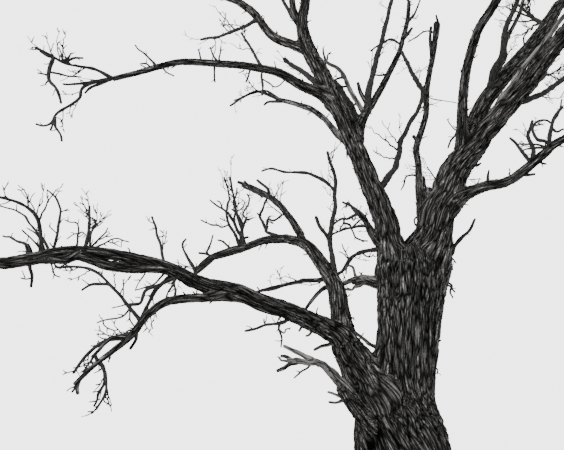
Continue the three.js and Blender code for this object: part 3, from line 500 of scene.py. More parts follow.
# Small forms that the photograph shows on the limbs: what carries it, its finish, its thickness at the
# foot and at the tip in mm, how far its tip draws away in mm, the pixels that it passes in the
# photograph, from its foot, and a name where others grow on it.
SEEN_FORMS = [
    # Upright twigs along the top of the low left bough, from its outer end inwards.
    ("low_left_bough", "bark", 66, 40, 40, [(31, 259), (29, 251), (27, 245)]),
    ("low_left_bough", "twigs", 32, 16, 250, [(28, 256), (26, 244), (16, 241), (10, 238), (3, 236)]),
    ("low_left_bough", "twigs", 22, 12, -150, [(42, 256), (39, 247), (33, 240), (22, 230)]),
    ("low_left_bough", "twigs", 19, 12, -60, [(46, 256), (43, 245), (36, 234), (27, 228)]),
    ("low_left_bough", "twigs", 28, 14, 300,
     [(50, 256), (47, 247), (40, 236), (32, 227), (26, 218), (20, 213), (10, 208), (0, 206)]),
    ("low_left_bough", "twigs", 30, 15, 200,
     [(53, 256), (54, 247), (58, 233), (59, 217), (60, 209), (56, 198), (51, 193), (47, 190)], "tall twig"),
    ("tall twig", "twigs", 15, 10, 60, [(60, 213), (63, 211), (68, 209)]),
    ("tall twig", "twigs", 14, 10, -60, [(57, 234), (53, 230), (49, 226)]),
    ("low_left_bough", "twigs", 22, 12, 150,
     [(74, 254), (76, 246), (78, 236), (79, 230), (76, 223), (70, 222), (65, 220)], "bent twig"),
    ("bent twig", "twigs", 14, 10, 200, [(78, 233), (73, 235), (67, 239)]),
    ("bent twig", "twigs", 14, 10, -80, [(78, 234), (82, 232), (86, 235)]),
    ("low_left_bough", "twigs", 24, 12, -120,
     [(90, 255), (90, 245), (91, 235), (93, 228), (95, 221), (91, 218), (88, 216)], "middle twig"),
    ("middle twig", "twigs", 14, 10, 100, [(92, 232), (95, 226), (99, 225), (103, 222)]),
    ("middle twig", "twigs", 13, 10, 60, [(91, 234), (89, 229), (88, 223)]),
    ("low_left_bough", "twigs", 22, 12, 200,
     [(87, 255), (92, 247), (98, 240), (103, 235), (108, 228)], "low fan"),
    ("low fan", "twigs", 13, 10, 60, [(98, 240), (104, 238), (110, 233)]),
    ("low_left_bough", "twigs", 19, 10, -150,
     [(90, 256), (96, 247), (105, 243), (112, 239), (118, 238), (124, 240), (129, 242)], "right fan"),
    ("right fan", "twigs", 13, 10, 100, [(108, 242), (113, 243), (119, 241)]),
    # Under its outer end, and the strand that has torn away below its middle.
    ("low_left_bough", "bark", 34, 22, 60, [(30, 258), (30, 268), (32, 276), (31, 287)], "hanging stub"),
    ("hanging stub", "twigs", 15, 12, -40, [(31, 278), (26, 279), (21, 278)]),
    ("low_left_bough", "twigs", 17, 12, 80, [(51, 262), (53, 269), (55, 275), (60, 277)]),
    ("low_left_bough", "twigs", 17, 10, -100, [(52, 262), (57, 267), (64, 265), (69, 266), (73, 270)]),
    ("low_left_bough", "bark", 112, 66, BESIDE,
     [(176, 271), (164, 268), (150, 268), (135, 268.5), (120, 267.5), (105, 265), (93, 261), (80, 257),
      (68, 254)]),
    ("low_left_bough", "bark", 90, 60, BESIDE, [(80, 256), (68, 259), (57, 260), (45, 260), (33, 260)]),
    # The tangle under the middle of the low left bough.
    ("low_left_bough", "twigs", 37, 26, -200,
     [(178, 275), (170, 280), (163, 282), (155, 286), (146, 290), (142, 297), (139, 303), (130, 305)],
     "tangle"),
    ("tangle", "twigs", 19, 12, 120,
     [(131, 305), (128, 311), (122, 317), (112, 319), (103, 320), (97, 323)], "tangle twig"),
    ("tangle twig", "twigs", 13, 10, 40, [(103, 320), (104, 325), (109, 329), (114, 331), (118, 338)]),
    ("tangle", "twigs", 16, 12, 150, [(131, 305), (130, 313), (130, 320), (134, 326)]),
    ("tangle", "twigs", 15, 10, -60, [(139, 303), (128, 304), (119, 306), (112, 308)]),
    ("low_left_bough", "twigs", 22, 12, 120, [(164, 276), (157, 282), (147, 287), (136, 290)]),
    ("low_left_bough", "twigs", 17, 10, 90, [(147, 268), (144, 275), (138, 283), (135, 291)]),
    ("tangle", "twigs", 15, 10, -60, [(158, 284), (154, 289), (149, 297)]),
    ("low_left_bough", "twigs", 22, 14, -200, [(178, 277), (172, 286), (166, 297), (160, 307)]),
    ("low_left_bough", "twigs", 28, 23, -120, [(175, 276), (174, 284), (176, 291), (174, 300)]),
    ("low_left_bough", "twigs", 15, 10, 60, [(195, 287), (197, 291), (196, 297)]),
    # The drooping bough's forks and stubs.
    ("drooping_bough", "bark", 40, 26, 90,
     [(128, 340), (120, 338), (112, 338), (104, 344), (98, 351), (92, 357)], "loop"),
    ("loop", "twigs", 28, 29, 60, [(95, 354), (97, 360), (101, 364)]),
    ("loop", "twigs", 22, 18, 60, [(95, 355), (90, 362), (86, 368), (82, 377)]),
    ("drooping_bough", "twigs", 28, 17, 60,
     [(100, 363), (103, 366), (105, 374), (105, 384), (100, 393), (98, 400), (94, 406)], "hanging twig"),
    ("hanging twig", "twigs", 15, 12, -40, [(105, 384), (107, 388), (108, 395)]),
    ("drooping_bough", "bark", 32, 22, -60, [(140, 331), (136, 339), (130, 349)]),
    ("drooping_bough", "bark", 32, 24, 0, [(79, 380), (77, 387), (78, 394)]),
    ("drooping_bough", "twigs", 17, 13, 0, [(78, 383), (75, 388), (72, 392)]),
    ("drooping_upper_twigs", "twigs", 26, 20, 60, [(110, 286), (105, 284), (94, 284), (88, 286), (82, 290)]),
    # The arched bough: its falling end, the bush on it and the twigs along it.
    ("arched_bough_fall", "bark", 86, 62, 60,
     [(245, 246), (235, 249), (225, 252), (214, 256), (204, 263), (196, 271)]),
    ("arched_bough_fall", "twigs", 49, 22, -100,
     [(240, 248), (237, 239), (234, 233), (229.5, 225), (227, 217), (225, 211), (217, 206), (210, 200)],
     "bush left"),
    ("bush left", "twigs", 24, 20, 30, [(223, 209), (220, 202), (217, 201)]),
    ("bush left", "twigs", 32, 21, 60,
     [(227, 214), (228, 203), (229.5, 199), (228, 191), (226, 182), (224, 177)]),
    ("bush left", "twigs", 30, 21, -80,
     [(231, 228), (229, 225), (222, 227), (218, 225), (212, 225), (207, 223), (201, 220)]),
    ("bush left", "twigs", 20, 17, -40, [(228, 222), (223.5, 220), (220, 218)]),
    ("arched_bough_fall", "twigs", 49, 34, 60,
     [(242, 248), (241, 236), (237, 229.5), (234, 221), (231, 217), (228, 212.5)], "bush middle"),
    ("bush middle", "twigs", 32, 22, 60,
     [(237, 229.5), (234, 220), (235, 211), (233, 202), (236, 195), (237, 188)], "bush upright"),
    ("bush upright", "twigs", 20, 17, 20, [(235, 213), (242, 208), (245, 202)]),
    ("arched_bough_fall", "twigs", 59, 36, 60,
     [(241, 248), (241, 240.5), (242, 231), (243.5, 225), (246.5, 218.5)], "bush right"),
    ("bush right", "twigs", 32, 22, 40, [(246, 218.5), (243, 214), (248, 205), (249, 198), (247, 194)]),
    ("bush right", "twigs", 30, 21, 60, [(245.5, 220), (251, 219), (253, 217.5)]),
    ("bush right", "twigs", 30, 21, -30, [(243, 225), (238, 214.5), (231.5, 209)]),
    ("arched_bough_fall", "twigs", 40, 31, 60, [(241, 248), (243, 240.5), (245, 238), (248, 237)]),
    ("arched_bough_fall", "twigs", 40, 23, 100, [(233, 250), (228, 246), (223, 242), (218, 240)]),
    ("arched_bough_fall", "twigs", 38, 20, -60, [(206, 262), (207, 253), (210, 244), (213, 235)]),
    ("arched_bough_fall", "twigs", 38, 30, 40, [(212, 258), (206, 254), (199, 253)]),
    ("arched_bough_rise", "twigs", 45, 25, 100,
     [(270, 238), (268, 232.5), (266.5, 229.5), (263.5, 222), (260, 216), (263, 209), (265, 202),
      (266.5, 199.5)], "forked twig"),
    ("forked twig", "twigs", 25, 19, 0, [(261, 218), (259, 215), (257, 213)]),
    ("forked twig", "twigs", 35, 25, -60,
     [(267.5, 231), (267, 223.5), (268, 219), (273, 220), (277.5, 218), (282, 215)], "forked arm"),
    ("forked arm", "twigs", 22, 18, 0, [(268, 219.5), (269, 217), (271, 216)]),
    ("forked arm", "twigs", 22, 18, 0, [(267, 222), (270, 222), (273, 223)]),
    ("low_left_bough", "twigs", 35, 20, 200,
     [(198, 277), (194, 268), (188, 258), (183, 249), (183, 243), (186, 239)]),
    ("arched_upright_twigs", "twigs", 53, 29, 200,
     [(332, 192), (331, 187), (325, 182), (318, 178), (308, 173), (296, 172), (285, 172), (272, 168),
      (262, 171)]),
    ("arched_upright_twigs", "twigs", 47, 38, -60, [(326, 240), (321, 228), (316, 217)]),
    ("arched_top_twigs", "bark", 48, 36, 60, [(271, 197), (269, 192.5), (267, 188), (262, 184), (257, 180)]),
    ("arched_top_twigs", "bark", 36, 30, 20, [(253, 188.5), (248, 185), (244.5, 181)]),
    ("arched_top_twigs", "bark", 92, 44, BESIDE,
     [(299, 236), (291, 220), (281, 206), (269, 196), (256, 189), (247, 185), (238, 182)]),
    ("arched_bough_rise", "twigs", 26, 17, 0, [(345, 322), (350, 318), (354, 318)]),
    # Dead twigs on the left side of the left stem, behind the arched bough.
    ("left_stem", "bark", 80, 42, 60,
     [(386, 250), (379, 245), (373, 237), (369, 231), (366, 223), (361, 217), (357, 212)], "dead limb"),
    ("dead limb", "twigs", 42, 24, 0,
     [(361, 217), (357, 212), (353, 208.5), (351, 206), (347, 204), (342.5, 202)], "dead end"),
    ("dead end", "twigs", 24, 16, 0, [(347.5, 204), (346, 206), (346, 208)]),
    ("dead limb", "twigs", 40, 20, 60,
     [(359, 214), (355, 215), (351, 217), (347, 219), (343, 218.5), (339, 220.5), (335, 223.5), (331, 227)],
     "dead arm"),
    ("dead arm", "twigs", 24, 18, 0, [(344, 219), (343.5, 223), (341, 227), (340, 230)], "dead drop"),
    ("dead drop", "twigs", 30, 24, 30, [(343.5, 223), (347.5, 224), (350, 224.5), (351, 227.5)]),
    ("dead arm", "twigs", 22, 16, 0, [(352, 217.5), (353.5, 220.5), (355.5, 217)]),
    ("dead limb", "twigs", 38, 24, 150,
     [(366, 226), (360, 226), (355.5, 227), (351, 228), (344, 229), (341, 231), (335, 233.5), (327, 239)],
     "dead reach"),
    ("dead reach", "twigs", 26, 18, 0, [(352, 227.5), (356, 223.5), (360, 220)]),
    ("dead reach", "twigs", 22, 20, 60,
     [(351, 228), (353, 232), (355.5, 237), (359, 239), (363, 240.5), (367.5, 241)]),
    ("fork_rear_twigs", "twigs", 18, 14, 40, [(345, 257), (342, 253), (339, 252)]),
    ("fork_rear_twigs", "twigs", 18, 14, -40, [(343, 256), (344, 249), (342, 244)]),
    # The top of the left stem and what grows on it.
    ("left_stem", "bark", 112, 64, -60, [(304, 42), (300, 26), (294, 12), (292, -2), (291, -22)]),
    ("left_stem", "twigs", 63, 34, 60, [(301, 30), (293, 18), (288, 10), (282, -1), (278, -14)]),
    ("peeled_limb", "twigs", 28, 16, 0, [(346, 143), (347, 151), (347, 158)]),
    # Twigs on the upper left bough and at its end.
    ("upper_left_bough", "twigs", 28, 16, 60, [(157, 66), (151, 60), (143, 53), (135, 45)]),
    ("upper_left_bough", "twigs", 20, 16, -60, [(152, 67), (146, 64), (140, 64)]),
    ("upper_left_bough", "twigs", 25, 16, 60, [(202, 63), (200, 56), (198, 49)]),
    ("upper_left_bough", "twigs", 28, 16, -60, [(219, 64), (214, 56), (210, 47)]),
    ("upper_left_bough", "twigs", 22, 16, 60, [(219, 64), (220, 55), (221, 46)]),
    ("upper_left_bough", "twigs", 25, 20, 60, [(215, 65), (214, 74), (215, 82)]),
    ("upper_left_bough", "twigs", 25, 20, -60, [(251, 68), (248, 76), (246, 82)]),
    ("upper_left_bough", "twigs", 34, 26, -60, [(263, 68), (261, 78), (263, 87), (262, 95)], "hook twig"),
    ("hook twig", "twigs", 20, 15, 60, [(262, 78), (269, 83), (275, 87), (284, 81)]),
    ("upper_left_bough", "twigs", 22, 15, -60, [(161, 67), (167, 72), (174, 76)]),
    ("upper_left_tip_twigs", "twigs", 41, 25, 60,
     [(53, 59), (50, 68), (50, 79), (56, 87), (59, 94), (61, 103)], "drop"),
    ("drop", "twigs", 25, 16, 40, [(50, 72), (60, 74), (70, 76), (81, 77)]),
    ("drop", "twigs", 23, 16, -40, [(50, 77), (45, 74), (38, 73)]),
    ("drop", "twigs", 21, 15, 30, [(50, 79), (47, 82), (45, 85)]),
    ("upper_left_tip_twigs", "twigs", 30, 18, -40, [(63, 61), (68, 58), (71, 53)]),
    ("upper_left_tip_twigs", "twigs", 28, 18, 40, [(65, 62), (74, 58), (83, 58)]),
    ("upper_left_tip_twigs", "twigs", 34, 22, 0, [(52, 59), (46, 55), (40, 51)]),
    ("upper_left_hanging_twigs", "twigs", 30, 19, -60, [(57, 119), (56, 126), (59, 133), (62, 141)]),
    ("upper_left_hanging_twigs", "twigs", 28, 19, 60, [(56, 120), (50, 124), (43, 126), (36, 124)]),
    ("upper_left_bough", "twigs", 32, 20, 40, [(100, 82), (92, 86), (85, 93)]),
    ("upper_left_bough", "twigs", 30, 19, -40, [(84, 82), (72, 84), (63, 84)]),
    # The limbs behind the left stem.
    ("left_rear_bough", "bare_wood", 68, 44, -60,
     [(361, 112), (358, 104), (353, 95), (348, 84), (343, 74), (337, 68), (331, 65), (325, 61)], "bare arm"),
    ("bare arm", "twigs", 32, 19, 30, [(326, 61), (324, 55), (323, 48)]),
    ("bare arm", "twigs", 22, 16, -30, [(327, 62), (328, 55), (331, 52)]),
    ("bare arm", "twigs", 30, 25, 60, [(349, 86), (342, 87), (336, 88)]),
    ("bare arm", "twigs", 30, 25, 60, [(345, 78), (339, 78), (333, 81)]),
    ("left_rear_bough", "bark", 64, 40, 60, [(363, 104), (361, 93), (358, 83)]),
    ("left_rear_bough", "twigs", 37, 25, -60, [(399, 44), (391, 40), (382, 43), (376, 47), (371, 51)]),
    ("left_rear_bough", "twigs", 52, 41, -40, [(404, 40), (408, 34), (412, 28)]),
    ("left_rear_bough", "twigs", 45, 28, 60, [(406, 26), (411, 18), (415, 13), (420, 0)], "side fork"),
    ("side fork", "twigs", 22, 16, -60, [(411, 18), (416, 18), (418, 15)]),
    ("left_rear_bough", "twigs", 32, 22, 60, [(389, 74), (382, 75), (375, 75)]),
    ("left_stem", "bark", 150, 110, 200, [(394, 266), (403, 253), (411, 242), (418, 234), (426, 224)]),
    # The centre limb: its foot along the right stem, its broken top and its arches.
    ("right_stem", "bark", 170, 98, 110, [(429, 264), (425, 240), (423, 215), (422, 196), (421, 178)]),
    ("centre_limb", "bark", 60, 42, -60, [(433, 62), (431, 50), (430, 38), (431, 27)]),
    ("centre_limb", "bark", 74, 26, 0, [(437, 40), (438, 26), (436, 15)]),
    ("centre_limb", "bark", 62, 44, 0, [(419, 143), (416, 139), (413, 136)]),
    ("centre_limb", "twigs", 32, 21, 60, [(436, 34), (430, 31), (424, 32), (416, 37), (408, 42)]),
    ("centre_limb", "twigs", 30, 16, 60, [(421, 176), (412, 175), (406, 177), (404, 184), (401, 190)]),
    ("centre_limb", "twigs", 19, 12, -60, [(428, 97), (436, 100), (445, 101), (461, 104)]),
    ("right_stem", "twigs", 32, 16, -60, [(424, 232), (417, 226), (414, 221), (416, 217)]),
    # The right side of the fork and the boughs on it.
    ("right_stem", "bark", 230, 150, 60, [(437, 232), (433, 212), (430, 199), (429, 191)]),
    ("right_stem", "bare_wood", 88, 56, BESIDE,
     [(491, 119), (500, 100), (510, 86), (522, 70), (533, 57), (545, 41), (557, 25), (569, 10)]),
    ("right_front_bough", "twigs", 39, 20, -60,
     [(466, 113), (458, 116), (459, 124), (456, 134), (450, 141), (448, 148)], "hanging curl"),
    ("hanging curl", "twigs", 19, 12, 60, [(457, 131), (452, 127), (447, 119)]),
    ("right_rear_bough", "bark", 70, 46, -120,
     [(491, 92), (493, 78), (499, 68), (505, 58), (505, 47), (508, 37), (514, 25), (520, 12), (524, -2)]),
    ("right_rear_bough", "twigs", 35, 18, -60, [(527, 52), (524, 42), (524, 36), (528, 32)]),
    ("right_stem", "twigs", 37, 18, 0, [(468, 168), (476, 165), (481, 163)]),
    ("right_low_bough", "bark", 46, 16, 0, [(487, 182), (488, 176), (489, 170)]),
    ("right_low_bough", "twigs", 50, 29, 60, [(531, 162), (526, 157), (520, 150), (515, 143), (510, 138)]),
    ("right_low_bough", "bark", 42, 26, -60, [(520, 172), (527, 175), (535, 174)]),
    ("right_low_bough", "twigs", 30, 23, 0, [(538, 160), (542, 163), (546, 164)]),
    ("right_low_bough", "twigs", 41, 20, 60,
     [(551, 146), (545, 141), (538, 140), (534, 134), (533, 127), (538, 121), (546, 120), (552, 124)]),
    ("right_low_bough", "twigs", 50, 31, -60,
     [(548, 148), (550, 138), (552, 128), (555, 117), (562, 107)], "curl limb"),
    ("curl limb", "twigs", 28, 16, 60, [(555, 120), (559, 113), (562, 99)]),
    ("curl limb", "twigs", 30, 18, 100, [(552, 128), (557, 132), (563, 129)]),
    ("right_low_bough", "twigs", 30, 18, 60, [(549, 148), (538, 145), (521, 144)]),
    ("right_low_bough", "twigs", 30, 18, -60, [(550, 148), (538, 148), (527, 149), (521, 151)]),
    ("right_stem", "twigs", 56, 28, 150,
     [(438, 267), (449, 255), (454, 247), (462, 237), (469, 230), (475, 219)], "knot twig"),
    ("knot twig", "twigs", 24, 13, 0, [(448, 256), (452, 258), (456, 263)]),
    # The ends of the limbs that pass behind the arched bough.
    ("bare_stub_limb", "bark", 60, 34, BESIDE,
     [(336, 285), (327, 287), (321, 290), (316, 295), (311, 301), (307, 307), (303, 313)]),
    ("fork_rear_twigs", "bark", 66, 36, BESIDE,
     [(330, 279), (320, 280), (305, 281), (288, 284), (274, 287), (261, 290.5), (252, 294)]),
    # The bare stub limb's hook, prong and foot.
    ("bare_stub_limb", "bare_wood", 38, 22, 60,
     [(358, 280), (355, 275), (353, 268), (350, 266), (347, 267), (346, 274)]),
    ("bare_stub_limb", "bare_wood", 46, 26, -100,
     [(368, 283), (361, 285), (355, 287), (352, 290), (345, 289)]),
    ("trunk", "bark", 84, 40, 60, [(392, 288), (381, 278), (377, 271), (378, 264)]),
    ("trunk", "bare_wood", 46, 34, -120, [(384, 351), (374, 346), (365, 340), (356, 333)]),
    # Bark that still holds at the feet of the bare limbs.
    ("bare_low_limb", "bark", 260, 108, BESIDE,
     [(402, 446), (386, 433), (372, 422), (361, 412), (353, 403), (346, 394), (341, 387)]),
    ("bare_stub_limb", "bark", 180, 38, BESIDE,
     [(400, 300), (390, 292), (381, 286), (372, 283), (363, 282), (353, 283)]),
    ("peeled_limb", "bark", 92, 56, BESIDE, [(358, 158), (351, 148), (345, 142), (339, 137), (333, 131)]),
    ("peeled_limb", "bark", 80, 30, BESIDE,
     [(324, 117), (312, 109.5), (300, 105), (290, 102), (280, 99.5), (269, 95), (258, 91.5), (245, 96),
      (230, 106)]),
    # The bare low limb's broken prongs.
    ("bare_low_limb", "bare_wood", 92, 62, BESIDE,
     [(357, 402), (348, 390), (340, 380), (331, 370), (323, 364), (313, 361)]),
    ("bare_low_limb", "bare_wood", 66, 34, 60,
     [(320, 364), (313, 361), (305, 357), (300, 354), (292, 350), (284, 346)]),
    ("bare_low_limb", "bare_wood", 62, 36, BESIDE, [(316, 363), (307, 363), (298, 361), (288, 360)]),
    ("bare_low_limb", "bark", 46, 28, -60, [(297, 361), (290, 364), (284, 368), (277, 371)]),
    ("bare_low_limb", "bark", 40, 26, 40, [(293, 360), (287, 357), (281, 356)]),
    ("bare_low_limb", "twigs", 22, 14, -60, [(313, 363), (308, 368), (301, 372), (294, 378)]),
    ("bare_low_limb", "bare_wood", 36, 22, 0, [(349, 400), (343, 398), (335, 394), (328, 392)]),
    ("bare_low_limb", "bare_wood", 36, 22, -60, [(350, 403), (343, 401), (336, 403), (329, 402)]),
    # A dead branch under the inner half of the low left bough.
    ("low_left_bough", "twigs", 40, 22, -150,
     [(292, 318), (286, 321), (280, 323), (272, 324), (265, 325), (255, 329), (245, 331)], "under branch"),
    ("under branch", "twigs", 20, 14, 0, [(266, 325), (264, 322), (264, 319)]),
    ("under branch", "twigs", 26, 16, -60,
     [(280, 323), (279, 328), (281, 334), (282, 340), (281, 347)], "under twig"),
    ("under twig", "twigs", 17, 13, 40, [(280, 330), (284, 333), (286, 329), (290, 329)]),
    ("low_left_bough", "bark", 30, 20, -40, [(304, 326), (301, 328), (299, 331)]),
    ("low_left_bough", "bark", 30, 20, 40, [(312, 330), (310, 334), (306, 336)]),
    # Stubs and splinters on the trunk and at the low left bough's foot.
    ("low_left_bough", "bark", 42, 26, 60, [(338, 338), (330, 344), (322, 346), (314, 350)]),
    ("trunk", "twigs", 26, 16, -60, [(440, 276), (448, 283), (452, 289), (455, 292)]),
    ("trunk", "twigs", 26, 16, 60, [(440, 280), (448, 285), (451, 292), (453, 298)]),
    ("trunk", "twigs", 28, 14, 0, [(430, 343), (437, 341), (441, 340)]),
    ("trunk", "twigs", 26, 13, 0, [(428, 364), (435, 368), (437, 374)]),
    # The hook at the bare arm's foot, and the lower fork of the peeled limb.
    ("bare arm", "twigs", 34, 24, 0,
     [(358, 104), (355, 104), (351.5, 107), (350.5, 111), (352, 116)], "arm hook"),
    ("arm hook", "twigs", 26, 18, 0, [(351.5, 107), (349, 105.5), (346.5, 104)]),
    ("peeled_limb", "bark", 50, 30, BESIDE, [(284, 100), (275, 101.5), (268, 102), (264, 105)]),
]

Course = namedtuple("Course", "points thick run")
Level = namedtuple("Level", "joints thick seed")
Limb = namedtuple("Limb", "joints thicknesses swell_run")
Mass = namedtuple("Mass", "name parent at thick tip twigs longest rise legs")


def unit(vectors):
    """Each vector divided by its own length."""
    return vectors / np.maximum(np.linalg.norm(vectors, axis=-1, keepdims=True), SMALLEST_LENGTH)


def dot(first, second):
    """Sum of the products of the parts, kept as a column."""
    return np.sum(first * second, axis=-1, keepdims=True)


def mixed(seed, count):
    """A seed and a count stirred into one whole number of 32 bits, by three multiplications."""
    first, second, third = (np.uint64(mixer) for mixer in MIXERS)
    middle_shift, last_shift = (np.uint64(shift) for shift in MIXER_SHIFTS)
    low_word = np.uint64(WORD_RANGE - 1)
    seed = np.asarray(seed, np.uint64)
    count = np.asarray(count, np.uint64)
    word = ((seed ^ ((count + np.uint64(1)) * first & low_word)) * second) & low_word
    word = ((word ^ (word >> middle_shift)) * third) & low_word
    return word ^ (word >> last_shift)


def draw(seed, count):
    """A repeatable draw between 0 and 1 from a seed and a count."""
    return mixed(seed, count).astype(float) / WORD_RANGE


def child_seed(seed, index):
    """The seed of a child, from its parent's seed and its place among the children."""
    return mixed(seed, np.asarray(index) + CHILD_SEED_START)


def eased(low, high, value):
    """0 below low, 1 above high, and 3t^2 - 2t^3 between them."""
    share = np.clip((value - low) / (high - low), 0, 1)
    return share * share * (3 - 2 * share)


def noise(places, seed=0):
    """Gradient noise from about -1 to 1. Each whole-number corner has a slope drawn from its own
    numbers, and the eight slopes round a place are blended with the curve 6t^5 - 15t^4 + 10t^3."""
    low = np.floor(places)
    part = places - low
    ease = part ** 3 * (part * (part * 6 - 15) + 10)
    low = low.astype(np.int64) + NOISE_START
    total = np.zeros(places.shape[:-1])
    for corner in np.ndindex(2, 2, 2):
        cell = (low + corner).astype(np.uint64)
        word = mixed(mixed(mixed(cell[..., 0], cell[..., 1]), cell[..., 2]), seed)
        parts = [(word >> np.uint64(shift)) & np.uint64(SLOPE_STEPS) for shift in SLOPE_SHIFTS]
        slope = np.stack(parts, -1).astype(float) / (SLOPE_STEPS / 2) - 1
        weight = np.prod(np.where(corner, ease, 1 - ease), axis=-1)
        total += weight * np.sum(slope * (part - corner), axis=-1)
    return total * NOISE_GAIN


def leg_direction(slope, lean):
    """Unit direction: turned up by slope in the front plane, then tipped away by lean."""
    up = math.radians(slope)
    away = math.radians(lean)
    return np.array([
        math.cos(up) * math.cos(away), math.sin(away), math.sin(up) * math.cos(away)])


def cubic(low, high, rise, fall, share):
    """A value that goes from low to high as the share goes from 0 to 1, with slopes rise and fall there:
    (2 low - 2 high + rise + fall) t^3 + (3 high - 3 low - 2 rise - fall) t^2 + rise t + low."""
    return ((2 * low - 2 * high + rise + fall) * share ** 3
            + (3 * high - 3 * low - 2 * rise - fall) * share ** 2 + rise * share + low)


def smooth_course(joints, thicknesses, steps):
    """A line that passes through the joints as one cubic to a leg, whose slope at a joint is half the
    step between its neighbours. Thickness goes straight from joint to joint, and run is the length so
    far. The arrays may hold many lines at once, with the joints on the second last axis."""
    joints = np.asarray(joints, float)
    thicknesses = np.asarray(thicknesses, float)
    legs = joints.shape[-2] - 1
    before = 2 * joints[..., :1, :] - joints[..., 1:2, :]
    after = 2 * joints[..., -1:, :] - joints[..., -2:-1, :]
    ends = np.concatenate([before, joints, after], axis=-2)
    place = np.arange(legs * steps + 1) / steps
    leg = np.minimum(place.astype(int), legs - 1)
    share = (place - leg)[:, None]
    p0, p1, p2, p3 = (ends[..., leg + shift, :] for shift in range(4))
    points = cubic(p1, p2, (p2 - p0) / 2, (p3 - p1) / 2, share)
    thick = thicknesses[..., leg] * (1 - share[:, 0]) + thicknesses[..., leg + 1] * share[:, 0]
    return Course(points, thick, run_along(points))


def run_along(points):
    """The length so far at each point: the sum of the straight steps before it."""
    steps = np.linalg.norm(np.diff(points, axis=-2), axis=-1)
    start = np.zeros(steps.shape[:-1] + (1,))
    return np.concatenate([start, np.cumsum(steps, axis=-1)], axis=-1)


def place_on(courses, shares):
    """Point, thickness and direction at a share of each course's length. The courses lie on the first
    axis, one to a share."""
    run = courses.run[:, -1] * shares
    index = 1 + np.sum(courses.run[:, 1:-1] < run[:, None], axis=1)
    row = np.arange(len(index))
    before = courses.points[row, index - 1]
    after = courses.points[row, index]
    low = courses.run[row, index - 1]
    mix = (run - low) / (courses.run[row, index] - low)
    thick = courses.thick[row, index - 1] * (1 - mix) + courses.thick[row, index] * mix
    return before + (after - before) * mix[:, None], thick, unit(after - before)


def place_on_one(course, share):
    """The point, thickness and direction at a share of one course."""
    point, thick, direction = place_on(Course(*(part[None] for part in course)), np.array([share]))
    return point[0], thick[0], direction[0]


def trunk_course():
    """The trunk's middle line, with its width as the thickness and its height as the run."""
    height, middle, width = np.array(TRUNK_SECTIONS, float).T[:3] * MM
    points = np.stack([middle, np.zeros(len(middle)), height], axis=-1)
    return Course(points, width, height)


def limb_joints(parent, at, thick, tip, legs):
    """The joints of a limb: its foot on the parent's middle line, and one at the end of each leg."""
    foot, _, direction = place_on_one(parent, at)
    joints = [foot + direction * CLEARANCE * (at == 1)]
    thicknesses = [thick * MM]
    for number, leg in enumerate(legs):
        length, slope, lean = leg[:3]
        joints.append(joints[-1] + leg_direction(slope, lean) * length * MM)
        share = (number + 1) / len(legs)
        thicknesses.append((leg[3] if tip is None else thick + (tip - thick) * share) * MM)
    return np.array(joints), np.array(thicknesses)


def gap_to_course(points, course, blunt=False):
    """How far each point is from a limb's skin: the least, over the steps of its middle line, of the
    distance to the step less half the thickness there. The blunt gap, which the twig rule uses, takes
    the step's thicker end all along the step."""
    start = course.points[:-1]
    step = np.diff(course.points, axis=0)
    away = points[:, None, :] - start
    share = np.clip(np.sum(away * step, axis=-1) / np.sum(step * step, axis=-1), 0, 1)
    distance = np.linalg.norm(away - share[..., None] * step, axis=-1)
    if blunt:
        thick = np.maximum(course.thick[:-1], course.thick[1:])
    else:
        thick = course.thick[:-1] * (1 - share) + course.thick[1:] * share
    return np.min(distance - thick / 2, axis=1)


def square_pair(direction):
    """Two unit directions square to each direction. The first is level where that is well defined."""
    across = np.cross([0.0, 1.0, 0.0], direction)
    short = np.linalg.norm(across, axis=-1, keepdims=True) < NEARLY_UPRIGHT
    across = np.where(short, np.cross([1.0, 0.0, 0.0], direction), across)
    across = unit(across - dot(across, direction) * direction)
    return across, unit(np.cross(across, direction))


def ring_frames(points):
    """Two directions square to a line at each of its points, carried along it without twisting."""
    along = unit(np.gradient(points, axis=0))
    across, _ = square_pair(along[:1])
    carried = [across[0]]
    for tangent in along[1:]:
        turned = carried[-1] - np.dot(carried[-1], tangent) * tangent
        carried.append(turned / np.linalg.norm(turned))
    across = np.array(carried)
    return across, np.cross(across, along), along


def collar(run, swell_run, thick):
    """How much a limb swells where it leaves its parent: a bell curve of the run past the parent's skin,
    times the share by which it is thinner than its parent."""
    if swell_run == 0:
        return np.zeros_like(run)
    past = np.maximum(run - swell_run, 0) / thick
    return COLLAR_SWELL * np.maximum(1 - thick / (2 * swell_run), 0) * np.exp(-past ** 2)


def foot_share(run, swell_run):
    """How thick a limb is near its foot, as a share: it grows from FOOT_SHARE on its parent's middle
    line to 1 where it leaves the parent's skin, so that no blunt end shows."""
    if swell_run == 0:
        return np.ones_like(run)
    return FOOT_SHARE + (1 - FOOT_SHARE) * eased(0, FOOT_REACH * swell_run, run)


def strand_relief(grain, spacing, seed):
    """Bark of long strands, from 0 in a furrow to 1 on a ridge. Furrows lie where a noise that is
    stretched along the limb crosses zero; a finer noise cuts each ridge into strands, and the places
    are first pushed about by a slow noise so that strands lean over and into each other."""
    places = grain / spacing[..., None] * [1, 1, 1 / STRAND_STRETCH]
    slow = places * SWAY_SCALE
    push = [noise(slow + shift, seed) for shift in SWAY_SHIFTS]
    places = places + np.stack([*push, np.zeros(slow.shape[:-1])], -1) * SWAY_MOST
    furrows = 1 - np.exp(-(noise(places, seed + 1) / FURROW_WIDTH) ** 2)
    strands = 1 - np.exp(-(noise(places * STRAND_SCALE, seed + 2) / STRAND_WIDTH) ** 2)
    grit = noise(places * GRIT_SCALE, seed + 3)
    return np.clip(furrows * (1 - STRAND_SHARE + STRAND_SHARE * strands) + GRIT_SHARE * grit, 0, 1)


